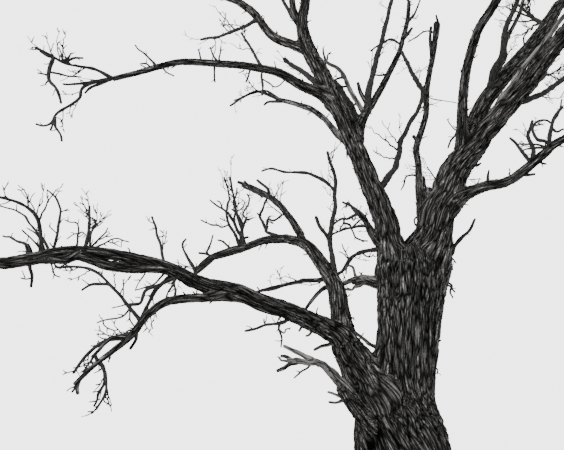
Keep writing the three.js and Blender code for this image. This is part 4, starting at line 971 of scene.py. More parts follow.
def wave_places(along, seed):
    """Places for a noise of one direction: along it, half way between whole numbers in the others."""
    return np.stack([along, np.full(len(along), HALF_CELL), np.full(len(along), seed + HALF_CELL)], -1)


def even_course(joints, thicknesses, gap, wander, seed, wave_length=LIMB_WAVE):
    """The smooth line through the joints, with a ring every gap metres. It wanders off the straight by a
    noise of the run, up to a share of the thickness, and not at its two ends."""
    fine = smooth_course(joints, thicknesses, COURSE_STEPS)
    rings = max(int(fine.run[-1] / gap), FEWEST_RINGS)
    run = np.linspace(0, fine.run[-1], rings + 1)
    points = np.stack([np.interp(run, fine.run, fine.points[:, axis]) for axis in range(3)], -1)
    thick = np.interp(run, fine.run, fine.thick)
    across, over, _ = ring_frames(points)
    wave = wave_places(run / wave_length, seed)
    held = eased(0, wave_length, run) * eased(0, wave_length / 2, run[-1] - run)
    size = (held * np.maximum(thick, THINNEST_WANDER) * wander)[:, None]
    sideways, upward = (noise(wave, wander_seed)[:, None] for wander_seed in WANDER_SEEDS)
    points = points + across * sideways * size + over * upward * size
    return Course(points, thick, run_along(points))


def blended_out(points, outward, neighbours):
    """How far each point of a limb's skin moves out so that the limb flows into its neighbours. Each
    neighbour is a gap function and a blend radius k. The skin of the union is where the smooth least
    of the gaps is zero, least(a, b) - h^2 k / 4 with h = 1 - |a - b| / k, and it is found by stepping."""
    out = np.zeros(len(points))
    near = np.zeros(len(points), bool)
    limit = np.zeros(len(points))
    for gap_to, radius in neighbours:
        gap = gap_to(points)
        near |= np.abs(gap) < radius
        most = BLEND_LIMIT_SHARE * radius * np.clip(1 + 2 * gap / radius, 0, 1) * (gap < radius)
        limit = np.maximum(limit, most)
    chosen = np.flatnonzero(near & (limit > 0))
    for _ in range(BLEND_STEPS):
        moved = points[chosen] + outward[chosen] * out[chosen][:, None]
        union = out[chosen].copy()
        for gap_to, radius in neighbours:
            gap = gap_to(moved)
            meet = np.clip(1 - np.abs(union - gap) / radius, 0, 1)
            union = np.minimum(union, gap) - meet ** 2 * radius / 4
        out[chosen] = np.clip(out[chosen] - union * BLEND_STEP, 0, limit[chosen])
    return out


def directions_round(across, over, angle):
    """Directions out of each point of a line, at angles round it from across to over."""
    return across[..., None, :] * np.cos(angle)[..., None] + over[..., None, :] * np.sin(angle)[..., None]


def grid_faces(rings, sides):
    """Four-sided faces of a grid that closes round its second direction, facing out."""
    ring, side = np.meshgrid(np.arange(rings - 1), np.arange(sides), indexing="ij")
    turned = (side + 1) % sides
    corners = [ring * sides + side, ring * sides + turned, (ring + 1) * sides + turned,
               (ring + 1) * sides + side]
    return np.stack(corners, axis=-1).reshape(-1, 4)


def end_faces(ring_first, sides, pole, outwards_up):
    """Three-sided faces from a ring to its pole."""
    side = np.arange(sides)
    turned = (side + 1) % sides
    pair = (side, turned) if outwards_up else (turned, side)
    return np.stack([ring_first + pair[0], ring_first + pair[1], np.full(sides, pole)], axis=-1)


def closed_ends(rings, sides):
    """The faces that close both ends of a grid, whose two poles follow its points."""
    return np.concatenate([
        end_faces(0, sides, rings * sides, False),
        end_faces((rings - 1) * sides, sides, rings * sides + 1, True)])


def mesh_piece(name, points, faces, material, values=None):
    """One closed mesh piece from points and lists of faces of three or four corners, smooth shaded,
    with named values at its points."""
    mesh = bpy.data.meshes.new(name)
    loops = np.concatenate([block.ravel() for block in faces])
    sizes = np.concatenate([np.full(len(block), block.shape[1]) for block in faces])
    starts = np.concatenate([[0], np.cumsum(sizes)[:-1]])
    mesh.vertices.add(len(points))
    mesh.vertices.foreach_set("co", np.asarray(points, np.float32).ravel())
    mesh.loops.add(len(loops))
    mesh.loops.foreach_set("vertex_index", loops.astype(np.int32))
    mesh.polygons.add(len(sizes))
    mesh.polygons.foreach_set("loop_start", starts.astype(np.int32))
    mesh.polygons.foreach_set("use_smooth", np.ones(len(sizes), bool))
    mesh.update(calc_edges=True)
    for key, value in (values or {}).items():
        kind = "FLOAT_VECTOR" if value.ndim == 2 else "FLOAT"
        part = "vector" if value.ndim == 2 else "value"
        attribute = mesh.attributes.new(key, kind, "POINT")
        attribute.data.foreach_set(part, np.asarray(value, np.float32).ravel())
    mesh.materials.append(material)
    piece = bpy.data.objects.new(name, mesh)
    bpy.context.scene.collection.objects.link(piece)
    return piece


def sided_count(thick):
    """How many sides a limb of this thickness has, so that they are about SIDE_GAP wide."""
    return max(int(math.pi * thick / SIDE_GAP), FEWEST_SIDES)


def limb_skin(limb, neighbours, number, roughness):
    """A limb's skin, as points, faces and the grain and relief at its points: a circle of half the
    thickness carried along the course, with lobes that wind round it, slow lumps, the collar at its
    foot, the blend into its neighbours, and bark on top."""
    joints, thicknesses, swell_run = limb
    course = even_course(joints, thicknesses, RING_GAP, WANDER_SHARE, number)
    across, over, along = ring_frames(course.points)
    sides = sided_count(course.thick.max())
    rings = len(course.run)
    angle = np.linspace(0, 2 * math.pi, sides, endpoint=False)[None, :]
    run = course.run[:, None]
    thick = course.thick[:, None]
    lobes = sum(depth * np.cos(count * angle + wind * run + turn * number)
                for depth, count, wind, turn in LIMB_LOBES)
    radius = thick / 2 * (1 + collar(run, swell_run, thick) + lobes * eased(*LOBED_THICKNESS, thick))
    radius = radius * foot_share(run, swell_run)
    outward = directions_round(across, over, angle)
    skin = course.points[:, None] + outward * radius[..., None]
    spin = angle + GRAIN_SPIN * run
    grain = np.stack([thick / 2 * np.cos(spin), thick / 2 * np.sin(spin), run + 0 * angle], axis=-1)
    grain = grain + [0, 0, number * GRAIN_SHIFT]
    lumps = noise(grain / (thick[..., None] * LUMP_PER_THICK + LUMP_LEAST), number + LUMP_SEED)
    push = blended_out(skin.reshape(-1, 3), outward.reshape(-1, 3), neighbours).reshape(rings, sides)
    push = push + lumps * thick * LUMP_SHARE
    spacing = np.clip(thick * STRAND_PER_THICK, *STRAND_SPACING) + 0 * angle
    relief = strand_relief(grain, spacing, number * SEEDS_PER_LIMB)
    depth = np.minimum(thick * RELIEF_PER_THICK, RELIEF_MOST) * roughness
    push = push + (relief - LEVEL_RELIEF) * depth
    skin = skin + outward * push[..., None]
    tip = course.points[-1] + along[-1] * course.thick[-1] * TIP_SHARE
    points = np.concatenate([skin.reshape(-1, 3), course.points[:1], tip[None]])
    ends = np.array([[0, 0, grain[0, 0, 2]], [0, 0, grain[-1, 0, 2]]])
    return (points, grid_faces(rings, sides), closed_ends(rings, sides),
            np.concatenate([grain.reshape(-1, 3), ends]), np.concatenate([relief.ravel(), END_RELIEF]))


def skins_piece(name, skins, material):
    """One piece from many skins: their points one after another and their faces renumbered to match."""
    parts = [[], [], [], [], []]
    first = 0
    for points, quads, caps, *values in skins:
        for part, block in zip(parts, (points, quads + first, caps + first, *values)):
            part.append(block)
        first += len(points)
    points, quads, caps, grain, relief = (np.concatenate(part) for part in parts)
    return mesh_piece(name, points, [quads, caps], material, {"grain": grain, "relief": relief})


def trunk_section(height):
    """Middle, half width and half depth of the trunk at each height, from smooth curves through the
    sections: between two of them the cubic whose slopes are those of the sections either side."""
    table = np.array(TRUNK_SECTIONS, float)[:, :4] * MM
    slopes = np.gradient(table[:, 1:], table[:, 0], axis=0)
    slopes[0] = (table[1, 1:] - table[0, 1:]) / (table[1, 0] - table[0, 0])
    index = np.clip(np.searchsorted(table[:, 0], height) - 1, 0, len(table) - 2)
    span = (table[index + 1, 0] - table[index, 0])[..., None]
    share = ((height - table[index, 0]) / span[..., 0])[..., None]
    size = cubic(
        table[index, 1:], table[index + 1, 1:], slopes[index] * span, slopes[index + 1] * span, share)
    return size[..., 0], size[..., 1] / 2, size[..., 2] / 2


def wound_angle(angle, height):
    """An angle round the trunk, as the angle at its foot where the same ridge of bark starts."""
    table = np.array(TRUNK_SECTIONS, float)
    return angle + np.radians(np.interp(height, table[:, 0] * MM, table[:, 4]))


def bark_ridges():
    """Crests and furrows by turns round the trunk's foot, as their angles and their rises."""
    side = np.arange(2 * RIDGE_COUNT)
    off_place = RIDGE_SCATTER * (draw(RIDGE_SEED, side) - 0.5)
    low, high = RIDGE_DEPTH_SHARE
    rise = RIDGE_DEPTH * (low + (high - low) * draw(RIDGE_SEED, side + len(side)))
    return (side + off_place) * 2 * math.pi / len(side), np.where(side % 2 == 0, rise, -rise)


def trunk_outline(angle, height):
    """The trunk's half width at an angle, as a share: root lobes that fade with height, flutes that wind
    up it, and the main ridges of its bark, with straight slopes between crest and furrow."""
    lobes = (ROOT_LOBE_DEPTH * np.exp(-height / (ROOT_LOBE_HEIGHT * MM))
             * np.cos(ROOT_LOBES * angle + ROOT_LOBE_TURN))
    wound = wound_angle(angle, height)
    ridges = np.interp(wound, *bark_ridges(), period=2 * math.pi)
    return 1 + lobes + FLUTE_DEPTH * np.cos(FLUTE_COUNT * wound) + ridges


def gap_to_trunk(points):
    """How far each point is from the trunk's skin, measured level, and from its top end above that."""
    top = TRUNK_SECTIONS[-2][0] * MM
    height = np.clip(points[:, 2], 0, top)
    middle, wide, deep = trunk_section(height)
    away = points[:, 0] - middle
    angle = np.arctan2(points[:, 1] / deep, away / wide)
    edge = np.hypot(np.cos(angle) * wide, np.sin(angle) * deep) * trunk_outline(angle, height)
    gap = np.hypot(away, points[:, 1]) - edge
    above = points[:, 2] - top
    return np.where(above > 0, np.hypot(np.maximum(gap, 0), above), gap)


def hollow_share(skin, outward, pixel, reach):
    """How much each point of a skin belongs to a hollow: a bell curve of the distance from the point
    that faces the camera and is seen nearest to the hollow's pixel."""
    away = np.linalg.norm(seen_at(skin) - pixel, axis=-1)
    faces_camera = np.sum((skin - CAMERA_PLACE) * outward, axis=-1) < 0
    middle = skin.reshape(-1, 3)[np.argmin(np.where(faces_camera, away, np.inf))]
    distance = np.linalg.norm((skin - middle) / [1, 1, HOLLOW_STRETCH], axis=-1)
    return np.exp(-(distance / reach) ** 2)


def trunk_piece(neighbours, material):
    """The trunk's skin: the level sections as ovals times the outline, blended into the limbs, with
    slow lumps and strands of bark on the main ridges. Its foot is flat on the ground."""
    top = TRUNK_SECTIONS[-1][0] * MM
    height = np.linspace(0, top, int(top / TRUNK_RING_GAP) + 1)[:, None]
    angle = np.linspace(0, 2 * math.pi, TRUNK_SIDES, endpoint=False)[None, :]
    middle, wide, deep = trunk_section(height[:, 0])
    wide = wide[:, None] * trunk_outline(angle, height)
    deep = deep[:, None] * trunk_outline(angle, height)
    skin = np.stack([middle[:, None] + wide * np.cos(angle), deep * np.sin(angle), height + 0 * angle], -1)
    outward = unit(np.stack([np.cos(angle) * deep, np.sin(angle) * wide, 0 * wide], -1))
    wound = wound_angle(angle, height)
    profile = np.stack([wide.mean(axis=1), height[:, 0]], axis=-1)
    around = np.where(height > TRUNK_SHOULDER, wide[np.searchsorted(height[:, 0], TRUNK_SHOULDER)], wide)
    along = run_along(profile)[:, None] + 0 * angle
    grain = np.stack([around * np.cos(wound), around * np.sin(wound), along], -1)
    push = blended_out(skin.reshape(-1, 3), outward.reshape(-1, 3), neighbours).reshape(wide.shape)
    push = push + noise(grain * TRUNK_LUMP_SCALE, TRUNK_LUMP_SEED) * TRUNK_LUMP
    relief = strand_relief(grain, np.full(wide.shape, TRUNK_STRAND), TRUNK_SEED)
    push = push + (relief - LEVEL_RELIEF) * TRUNK_RELIEF
    skin = skin + outward * push[..., None]
    for pixel, reach, depth in HOLLOWS:
        near = hollow_share(skin, outward, pixel, reach * MM)
        skin = skin - outward * (near * depth * MM)[..., None]
        # The bark in a hollow is painted darker, and darker in deeper hollows: painted shade. Knots are not
        # darkened.
        relief = relief * (1 - near * np.clip(depth / HOLLOW_SHADE_DEPTH, 0, 1))
    rings, sides = wide.shape
    ends = np.array([[middle[0], 0, 0], [middle[-1], 0, top]])
    points = np.concatenate([skin.reshape(-1, 3), ends])
    faces = [grid_faces(rings, sides), closed_ends(rings, sides)]
    values = {
        "grain": np.concatenate([grain.reshape(-1, 3), ends]),
        "relief": np.concatenate([relief.ravel(), END_RELIEF]),
    }
    return mesh_piece("trunk_bark", points, faces, material, values)


def grown_twigs(parents, index, seed, longest, rise, thinnest, from_skin=0.0):
    """Twigs by the rule of the solids, as joints and foot thicknesses. Each leaves its parent at a share
    of its length set by the golden share, turned round it by the golden angle times its index, at a
    drawn angle, and has two equal legs with a drawn bend between them. All arguments are arrays with
    one entry to a twig. Its foot may be moved out, up to 0.5 of the parent's thickness for its skin."""
    draws = [draw(seed, index * DRAWS_PER_TWIG + count + 2) for count in range(DRAWS_PER_TWIG)]
    share = FIRST_TWIG_SHARE + (1 - FIRST_TWIG_SHARE) * ((index * GOLDEN_SHARE + draw(seed, 0)) % 1)
    foot, foot_thick, direction = place_on(parents, share)
    turn = (GOLDEN_ANGLE * index + draw(seed, 1) * TWIG_TURN_SCATTER)[:, None]
    across, over = square_pair(direction)
    angle = (TWIG_ANGLE[0] + (TWIG_ANGLE[1] - TWIG_ANGLE[0]) * draws[0])[:, None]
    lift = np.stack([0 * rise, 0 * rise, rise * TWIG_RISE], axis=-1)
    side = across * np.cos(turn) + over * np.sin(turn)
    outward = unit(direction * np.cos(angle) + side * np.sin(angle) + lift)
    foot = foot + outward * foot_thick[:, None] * from_skin / np.sin(angle)
    bend = (np.stack(draws[2:], axis=-1) - 0.5) * TWIG_BEND
    onward = unit(outward + bend + lift)
    low, high = TWIG_LENGTH_SHARE
    half = (longest * (low + (high - low) * draws[1]) * (1 - TWIG_TAPER_OFF * share) / 2)[:, None]
    thick = np.maximum(
        np.minimum(foot_thick * TWIG_THICK_SHARE, 2 * half[:, 0] * TWIG_THICK_PER_LENGTH), thinnest)
    joints = np.stack([foot, foot + outward * half, foot + outward * half + onward * half], axis=1)
    thicknesses = np.stack([thick, thick * TWIG_MIDDLE_SHARE, 0 * thick], axis=-1)
    return joints, thicknesses


def has_room(joints, thicknesses, own, others, limbs):
    """A twig may stand only where it is nearer to its own stem than to any other stem, off every limb,
    and well above the ground."""
    points = joints[:, 1:].reshape(-1, 3)
    keep_off = thicknesses[:, 1:].ravel() + TWIG_KEEP_OFF
    own_gap = gap_to_course(points, own, blunt=True)
    clear = points[:, 2] > LOWEST_TWIG
    for limb in limbs:
        clear &= gap_to_course(points, limb, blunt=True) > keep_off
    for stem in others:
        clear &= gap_to_course(points, stem, blunt=True) > own_gap + keep_off
    return clear.reshape(len(joints), -1).all(axis=1)


def first_twigs(mass, stem, seed, others, limbs):
    """The twigs that leave a mass's stem: the first ones in the golden order that have room."""
    index = np.arange(mass.twigs * TRIES_PER_TWIG)
    longest = np.full(len(index), mass.longest * MM)
    rise = np.full(len(index), mass.rise)
    parents = Course(*(np.repeat(part[None], len(index), axis=0) for part in stem))
    seeds = np.full(len(index), seed, np.uint64)
    joints, thick = grown_twigs(parents, index, seeds, longest, rise, THINNEST_TWIG)
    kept = np.flatnonzero(has_room(joints, thick, stem, others, limbs))[:mass.twigs]
    return Level(joints[kept], thick[kept], child_seed(seeds[kept], index[kept]))


def side_twigs(level, gap, most, share, rise, thinnest, first_length=None, from_skin=0.0):
    """Twigs that leave the twigs of a level, one for each gap of their length and no more than most.
    first_length is the longest for the first side twig of a twig that carries one in the solids."""
    run = run_along(level.joints)
    length = run[:, -1]
    count = np.clip(np.round(length / gap), 1, most).astype(int)
    row = np.repeat(np.arange(len(length)), count)
    index = np.arange(len(row)) - np.repeat(np.cumsum(count) - count, count)
    parents = Course(level.joints[row], level.thick[row], run[row])
    longest = (length * share)[row]
    if first_length is not None:
        longest = np.where((index == 0) & (length[row] > CARRIES_SIDE_TWIG), first_length, longest)
    seed = level.seed[row]
    joints, thick = grown_twigs(
        parents, index, seed, longest, np.full(len(row), rise), thinnest, from_skin)
    return Level(joints, thick, child_seed(seed, index))


def kept_level(level, room, box):
    """The twigs of a level that have room and stay in the mass's own box."""
    low, high = box
    inside = ((level.joints > low) & (level.joints < high)).all(axis=(1, 2))
    kept = inside & room(level.joints, level.thick)
    return Level(level.joints[kept], level.thick[kept], level.seed[kept])


def twig_skins(level, sides, steps, crook, tip_share):
    """Skins of many twigs at once, as points and faces. Each is a ring of a few sides carried along a
    crooked line through its joints, with a swelling at each crook, and closed by a pole at each end."""
    count = len(level.joints)
    thick = level.thick.copy()
    thick[:, 2] = thick[:, 1] * tip_share
    course = smooth_course(level.joints, thick, steps)
    rings = course.run.shape[1]
    length = course.run[:, -1:]
    along = unit(np.gradient(course.points, axis=1))
    across, over = square_pair(unit(level.joints[:, 1] - level.joints[:, 0]))
    number = np.arange(rings)[None, :]
    swing, sway, swelling = (draw(level.seed[:, None], first + number) for first in CROOK_DRAWS)
    swing = (swing - 0.5) * np.where(number % 2, 1, -1)
    held = np.where(number == 0, 0, 1)
    offset = across[:, None] * swing[..., None] + over[:, None] * (sway - 0.5)[..., None]
    points = course.points + offset * (length * crook * held)[..., None]
    radius = course.thick / 2 * (1 + TWIG_SWELLING * swelling * (number % 2))
    across = unit(across[:, None] - dot(across[:, None], along) * along)
    over = np.cross(across, along)
    angle = np.arange(sides) * 2 * math.pi / sides
    outward = directions_round(across, over, angle)
    skin = points[:, :, None] + outward * radius[:, :, None, None]
    tips = points[:, -1] + along[:, -1] * radius[:, -1:]
    each = rings * sides + 2
    stacked = np.concatenate([skin.reshape(count, -1, 3), points[:, :1], tips[:, None]], axis=1)
    shift = (np.arange(count) * each)[:, None, None]
    grain = stacked - stacked[:, :1] + (draw(level.seed, TWIG_GRAIN_DRAW) * TWIG_GRAIN_SPREAD)[:, None, None]
    return (stacked.reshape(-1, 3), (grid_faces(rings, sides) + shift).reshape(-1, 4),
            (closed_ends(rings, sides) + shift).reshape(-1, 3), grain.reshape(-1, 3),
            np.full(count * each, TWIG_RELIEF))


def stem_skin(joints, thicknesses, sides, number, swell_run, gap=STEM_GAP):
    """A thin stem: a ring of a few sides carried along a wandering course, with small swellings, a
    collar at its foot and a blunt tip."""
    wave_length = np.clip(thicknesses[0] * STEM_WAVE_PER_THICK, *STEM_WAVE)
    course = even_course(joints, thicknesses, gap, STEM_WANDER, number + STEM_SEED, wave_length)
    across, over, along = ring_frames(course.points)
    rings = len(course.run)
    angle = np.arange(sides) * 2 * math.pi / sides
    outward = directions_round(across, over, angle)
    lumps = TWIG_SWELLING * noise(wave_places(course.run / SWELLING_GAP, number), SWELLING_SEED)
    radius = course.thick / 2 * (1 + collar(course.run, swell_run, course.thick) + lumps)
    skin = course.points[:, None] + outward * radius[:, None, None]
    tip = course.points[-1] + along[-1] * radius[-1]
    points = np.concatenate([skin.reshape(-1, 3), course.points[:1], tip[None]])
    run = np.repeat(course.run, sides)
    turn = np.tile(angle, rings)
    width = np.repeat(course.thick / 2, sides)
    grain = np.stack([width * np.cos(turn), width * np.sin(turn), run], axis=-1)
    grain = np.concatenate([grain, [[0, 0, 0], [0, 0, course.run[-1]]]]) + number
    return (points, grid_faces(rings, sides), closed_ends(rings, sides), grain,
            np.full(len(points), TWIG_RELIEF))


def mass_piece(mass, stem_line, stem, others, limbs, number, material):
    """A mass of bare twigs: its stem, the solids' own twigs, the side twigs that leave them and the
    spurs that leave those, all by the one rule and all inside the room that the solid has."""
    name, rise = mass.name, mass.rise
    joints, thicknesses, swell_run = stem_line
    low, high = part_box(name)
    box = (np.array(low) - MOST_OUTSIDE, np.array(high) + MOST_OUTSIDE)
    seed = child_seed(number, 1)

    def room(twig_joints, twig_thick):
        return has_room(twig_joints, twig_thick, stem, others, limbs)

    twigs = first_twigs(mass, stem, seed, others, limbs)
    longest_side = mass.longest * MM * SIDE_TWIG_SHARE
    near = name.startswith(NEAR_MASSES)
    fine = kept_level(
        side_twigs(twigs, FINE_TWIG_GAP, NEAR_FINE_MOST if near else FINE_TWIG_MOST, FINE_TWIG_SHARE, rise,
                   THINNEST_FINE, longest_side), room, box)
    spurs = kept_level(
        side_twigs(fine, SPUR_GAP, NEAR_SPUR_MOST if near else SPUR_MOST, FINE_TWIG_SHARE, rise,
                   THINNEST_SPUR), room, box)
    share = np.linspace(*(THICK_STEM_SHARE if name in THICK_STEMS else STEM_SHARE), len(joints))
    skins = [
        stem_skin(joints, thicknesses[0] * share, STEM_SIDES, number, swell_run),
        twig_skins(twigs, *TWIG_SHAPE),
        twig_skins(fine, *FINE_SHAPE),
        twig_skins(spurs, *SPUR_SHAPE),
    ]
    return skins_piece(name.replace("_twigs", "_twig_mass"), skins, material)


def fill_inputs(tree, node, inputs):
    """Sets each input of a node to its value, or joins it where the value is a socket."""
    for key, value in inputs.items():
        if isinstance(value, bpy.types.NodeSocket):
            tree.links.new(value, node.inputs[key])
        else:
            node.inputs[key].default_value = value
    return node


def add_node(tree, kind, inputs=None, **settings):
    """The outputs of a new node of a kind, with its settings and its inputs."""
    node = tree.nodes.new(kind)
    for key, value in settings.items():
        setattr(node, key, value)
    return fill_inputs(tree, node, inputs or {}).outputs


def noise_of(tree, places, scale, detail):
    """The outputs of a noise of a scale and detail, read at the given places."""
    return add_node(tree, "ShaderNodeTexNoise", {"Vector": places, "Scale": scale, "Detail": detail})


def strand_group():
    """Long strands that lie side by side and run into each other along the grain: cells of a pattern
    that is stretched along it and pushed about by a slow noise. Strand goes from 0 on the furrow
    between two cells to 1 inside one, and Fibre is a finer noise of the same stretch."""
    group = bpy.data.node_groups.new("strands along the grain", "ShaderNodeTree")
    across, along, furrow = BARK_STRANDS
    for name, kind, value in (("Grain", "Vector", (0, 0, 0)), ("Across", "Float", across),
                              ("Along", "Float", along), ("Furrow Width", "Float", furrow),
                              ("Sway", "Vector", STRAND_SWAY)):
        socket = group.interface.new_socket(name=name, in_out="INPUT", socket_type="NodeSocket" + kind)
        socket.default_value = value
    for name in ("Strand", "Fibre"):
        group.interface.new_socket(name=name, in_out="OUTPUT", socket_type="NodeSocketFloat")
    given = add_node(group, "NodeGroupInput")
    inputs = {0: given["Across"], 1: given["Across"], 2: given["Along"]}
    inputs = {0: given["Grain"], 1: add_node(group, "ShaderNodeCombineXYZ", inputs)[0]}
    stretched = add_node(group, "ShaderNodeVectorMath", inputs, operation="MULTIPLY")[0]
    inputs = {0: noise_of(group, stretched, *SWAY_NOISE)["Color"], 1: given["Sway"], 2: stretched}
    pushed = add_node(group, "ShaderNodeVectorMath", inputs, operation="MULTIPLY_ADD")[0]
    inputs = {"Vector": pushed, "Scale": 1}
    cells = add_node(group, "ShaderNodeTexVoronoi", inputs, feature="DISTANCE_TO_EDGE")
    inputs = {"Value": cells["Distance"], "From Max": given["Furrow Width"]}
    strand = add_node(group, "ShaderNodeMapRange", inputs, interpolation_type="SMOOTHSTEP")[0]
    fibre = noise_of(group, stretched, *FIBRE_NOISE)[0]
    add_node(group, "NodeGroupOutput", {"Strand": strand, "Fibre": fibre})
    return group


def value_of(tree, name, output):
    """A value held at a mesh's points: relief, or grain, which is a place in a limb's own frame."""
    return add_node(tree, "ShaderNodeAttribute", attribute_name=name)[output]


def placed_group(tree, group, grain, across, along, furrow):
    """The outputs of one use of the strand group in a material, with that material's own values."""
    inputs = {"Grain": grain, "Across": across, "Along": along, "Furrow Width": furrow}
    return add_node(tree, "ShaderNodeGroup", inputs, node_tree=group)


def colour_mix(tree, share, low, high):
    """A colour between two, which are colours or sockets, by a share socket."""
    return add_node(tree, "ShaderNodeMix", {"Factor": share, "A": low, "B": high}, data_type="RGBA")["Result"]


def product(tree, first, second):
    """The product of two numbers, held between 0 and 1."""
    return add_node(tree, "ShaderNodeMath", {0: first, 1: second}, operation="MULTIPLY", use_clamp=True)[0]


def ranged(tree, value, low, high, start=0, end=1):
    """A value moved from the range low to high into the range start to end."""
    inputs = {"Value": value, "From Min": low, "From Max": high, "To Min": start, "To Max": end}
    return add_node(tree, "ShaderNodeMapRange", inputs)[0]


def patch_noise(tree, scale):
    """A slow noise over the whole tree, on Object coordinates."""
    return noise_of(tree, add_node(tree, "ShaderNodeTexCoord")["Object"], scale, PATCH_DETAIL)[0]


def new_material(name):
    """A material with a plain shader, and its node tree."""
    material = bpy.data.materials.new(name)
    material.use_nodes = True
    return material, material.node_tree


def finish_shader(tree, colour, roughness, shine, height, bump):
    """Gives a material's shader its colour, roughness and shine, and a bump from a height."""
    strength, distance = bump
    inputs = {"Height": height, "Strength": strength, "Distance": distance}
    normal = add_node(tree, "ShaderNodeBump", inputs)["Normal"]
    inputs = {"Base Color": colour, "Roughness": roughness, "Specular IOR Level": shine, "Normal": normal}
    fill_inputs(tree, tree.nodes["Principled BSDF"], inputs)


def bark_material(strands):
    """Dark furrowed bark: near black in the furrows, dark bark with painted shade in its low relief, mid grey
    on the strands, and paler on the high ridges, weathered bark with a painted highlight.
    """
    material, tree = new_material("furrowed bark")
    grain = value_of(tree, "grain", "Vector")
    wide = placed_group(tree, strands, grain, *BARK_STRANDS)
    fine = placed_group(tree, strands, grain, *BARK_FINE_STRANDS)
    # Low relief darkens the colour below: partly dark bark in the furrows, partly painted shade.
    height = ranged(tree, value_of(tree, "relief", "Fac"), *BARK_RELIEF_RANGE)
    for pattern, reading in ((wide["Strand"], BARK_STRAND_RANGE), (fine["Strand"], BARK_FINE_RANGE),
                             (wide["Fibre"], BARK_FIBRE_RANGE)):
        height = product(tree, height, ranged(tree, pattern, *reading))
    # Paler on the highest ridges: partly weathered bark, partly a painted highlight where the ridges would
    # catch the light.
    worn_and_highlight = product(
        tree, ranged(tree, height, *WORN_HIGHLIGHT_HEIGHT_RANGE), ranged(tree, fine["Fibre"], *WORN_HIGHLIGHT_FIBRE_RANGE))
    worn_and_highlight = product(tree, worn_and_highlight, ranged(tree, patch_noise(tree, BARK_PATCHES), *WORN_HIGHLIGHT_PATCH_RANGE))
    # Near black where the height is low: dark furrows with painted shade in them.
    colour = colour_mix(tree, height, FURROW_AND_SHADE_COLOUR, STRAND_COLOUR)
    colour = colour_mix(tree, worn_and_highlight, colour, WEATHERED_AND_HIGHLIGHT_COLOUR)
    roughness = ranged(tree, height, *BARK_ROUGHNESS_RANGE)
    finish_shader(tree, colour, roughness, ranged(tree, height, *BARK_SHINE_RANGE), height, BARK_BUMP)
    return material


def bare_wood_material(strands):
    """Weathered grey wood without bark: paler in patches, with long dark cracks and fine grain."""
    material, tree = new_material("bare grey wood")
    grain = value_of(tree, "grain", "Vector")
    cracks = placed_group(tree, strands, grain, *WOOD_CRACKS)["Strand"]
    fine = placed_group(tree, strands, grain, *WOOD_STRANDS)
    patches = ranged(tree, patch_noise(tree, WOOD_PATCHES), *WOOD_PATCH_RANGE)
    pale = product(tree, patches, ranged(tree, fine["Fibre"], *WOOD_FIBRE_RANGE))
    colour = colour_mix(tree, pale, BARE_SHADE_COLOUR, BARE_WOOD_COLOUR)
    open_wood = product(tree, cracks, ranged(tree, value_of(tree, "relief", "Fac"), *WOOD_RELIEF_RANGE))
    colour = colour_mix(tree, open_wood, BARE_CRACK_COLOUR, colour)
    height = product(tree, cracks, ranged(tree, fine["Strand"], *WOOD_STRAND_RANGE))
    roughness = ranged(tree, height, *WOOD_ROUGHNESS_RANGE)
    finish_shader(tree, colour, roughness, WOOD_SHINE, height, WOOD_BUMP)
    return material


def twig_material(strands):
    """Thin bark of the twigs: dark grey with small paler flecks and fine grain."""
    material, tree = new_material("twig bark")
    fine = placed_group(tree, strands, value_of(tree, "grain", "Vector"), *TWIG_STRANDS)
    colour = colour_mix(tree, ranged(tree, fine["Fibre"], *TWIG_FIBRE_RANGE), TWIG_COLOUR, TWIG_LIGHT_COLOUR)
    roughness = ranged(tree, fine["Strand"], *TWIG_ROUGHNESS_RANGE)
    finish_shader(tree, colour, roughness, TWIG_SHINE, fine["Strand"], TWIG_BUMP)
    return material


def floor_material():
    """Plain pale floor with the faintest mottling."""
    material, tree = new_material("pale floor")
    colour = colour_mix(tree, patch_noise(tree, FLOOR_PATCHES), FLOOR_COLOUR, FLOOR_LIGHT_COLOUR)
    fill_inputs(tree, tree.nodes["Principled BSDF"], {"Base Color": colour, "Roughness": FLOOR_ROUGHNESS})
    return material


def build_stage():
    """A plain pale floor at the ground, pale light from all round, a soft lamp from the left and a faint
    one from the right."""
    corners = np.array([[-1, -1, 0], [1, -1, 0], [1, 1, 0], [-1, 1, 0]]) * FLOOR_HALF - [0, 0, FLOOR_DROP]
    floor = mesh_piece("floor", corners, [np.array([[0, 1, 2, 3]])], floor_material())
    world = bpy.data.worlds.new("pale studio")
    world.use_nodes = True
    light = {"Color": WORLD_COLOUR, "Strength": WORLD_STRENGTH}
    fill_inputs(world.node_tree, world.node_tree.nodes["Background"], light)
    bpy.context.scene.world = world
    for name, place, size, power in LAMPS:
        lamp = bpy.data.lights.new(name, "AREA")
        lamp.size = size
        lamp.energy = power
        stand = bpy.data.objects.new(name, lamp)
        stand.location = place
        aim = Vector(LAMP_AIM) - Vector(place)
        stand.rotation_euler = aim.to_track_quat("-Z", "Y").to_euler()
        bpy.context.scene.collection.objects.link(stand)


def build_camera():
    """The camera at the photograph's place and viewing angle."""
    lens = bpy.data.cameras.new("camera")
    lens.lens = CAMERA_LENS
    lens.sensor_width = CAMERA_SENSOR
    lens.clip_end = CAMERA_REACH
    camera = bpy.data.objects.new("camera", lens)
    camera.location = CAMERA_PLACE
    camera.rotation_euler = (math.pi / 2 + CAMERA_TILT, 0, 0)
    bpy.context.scene.collection.objects.link(camera)
    bpy.context.scene.camera = camera


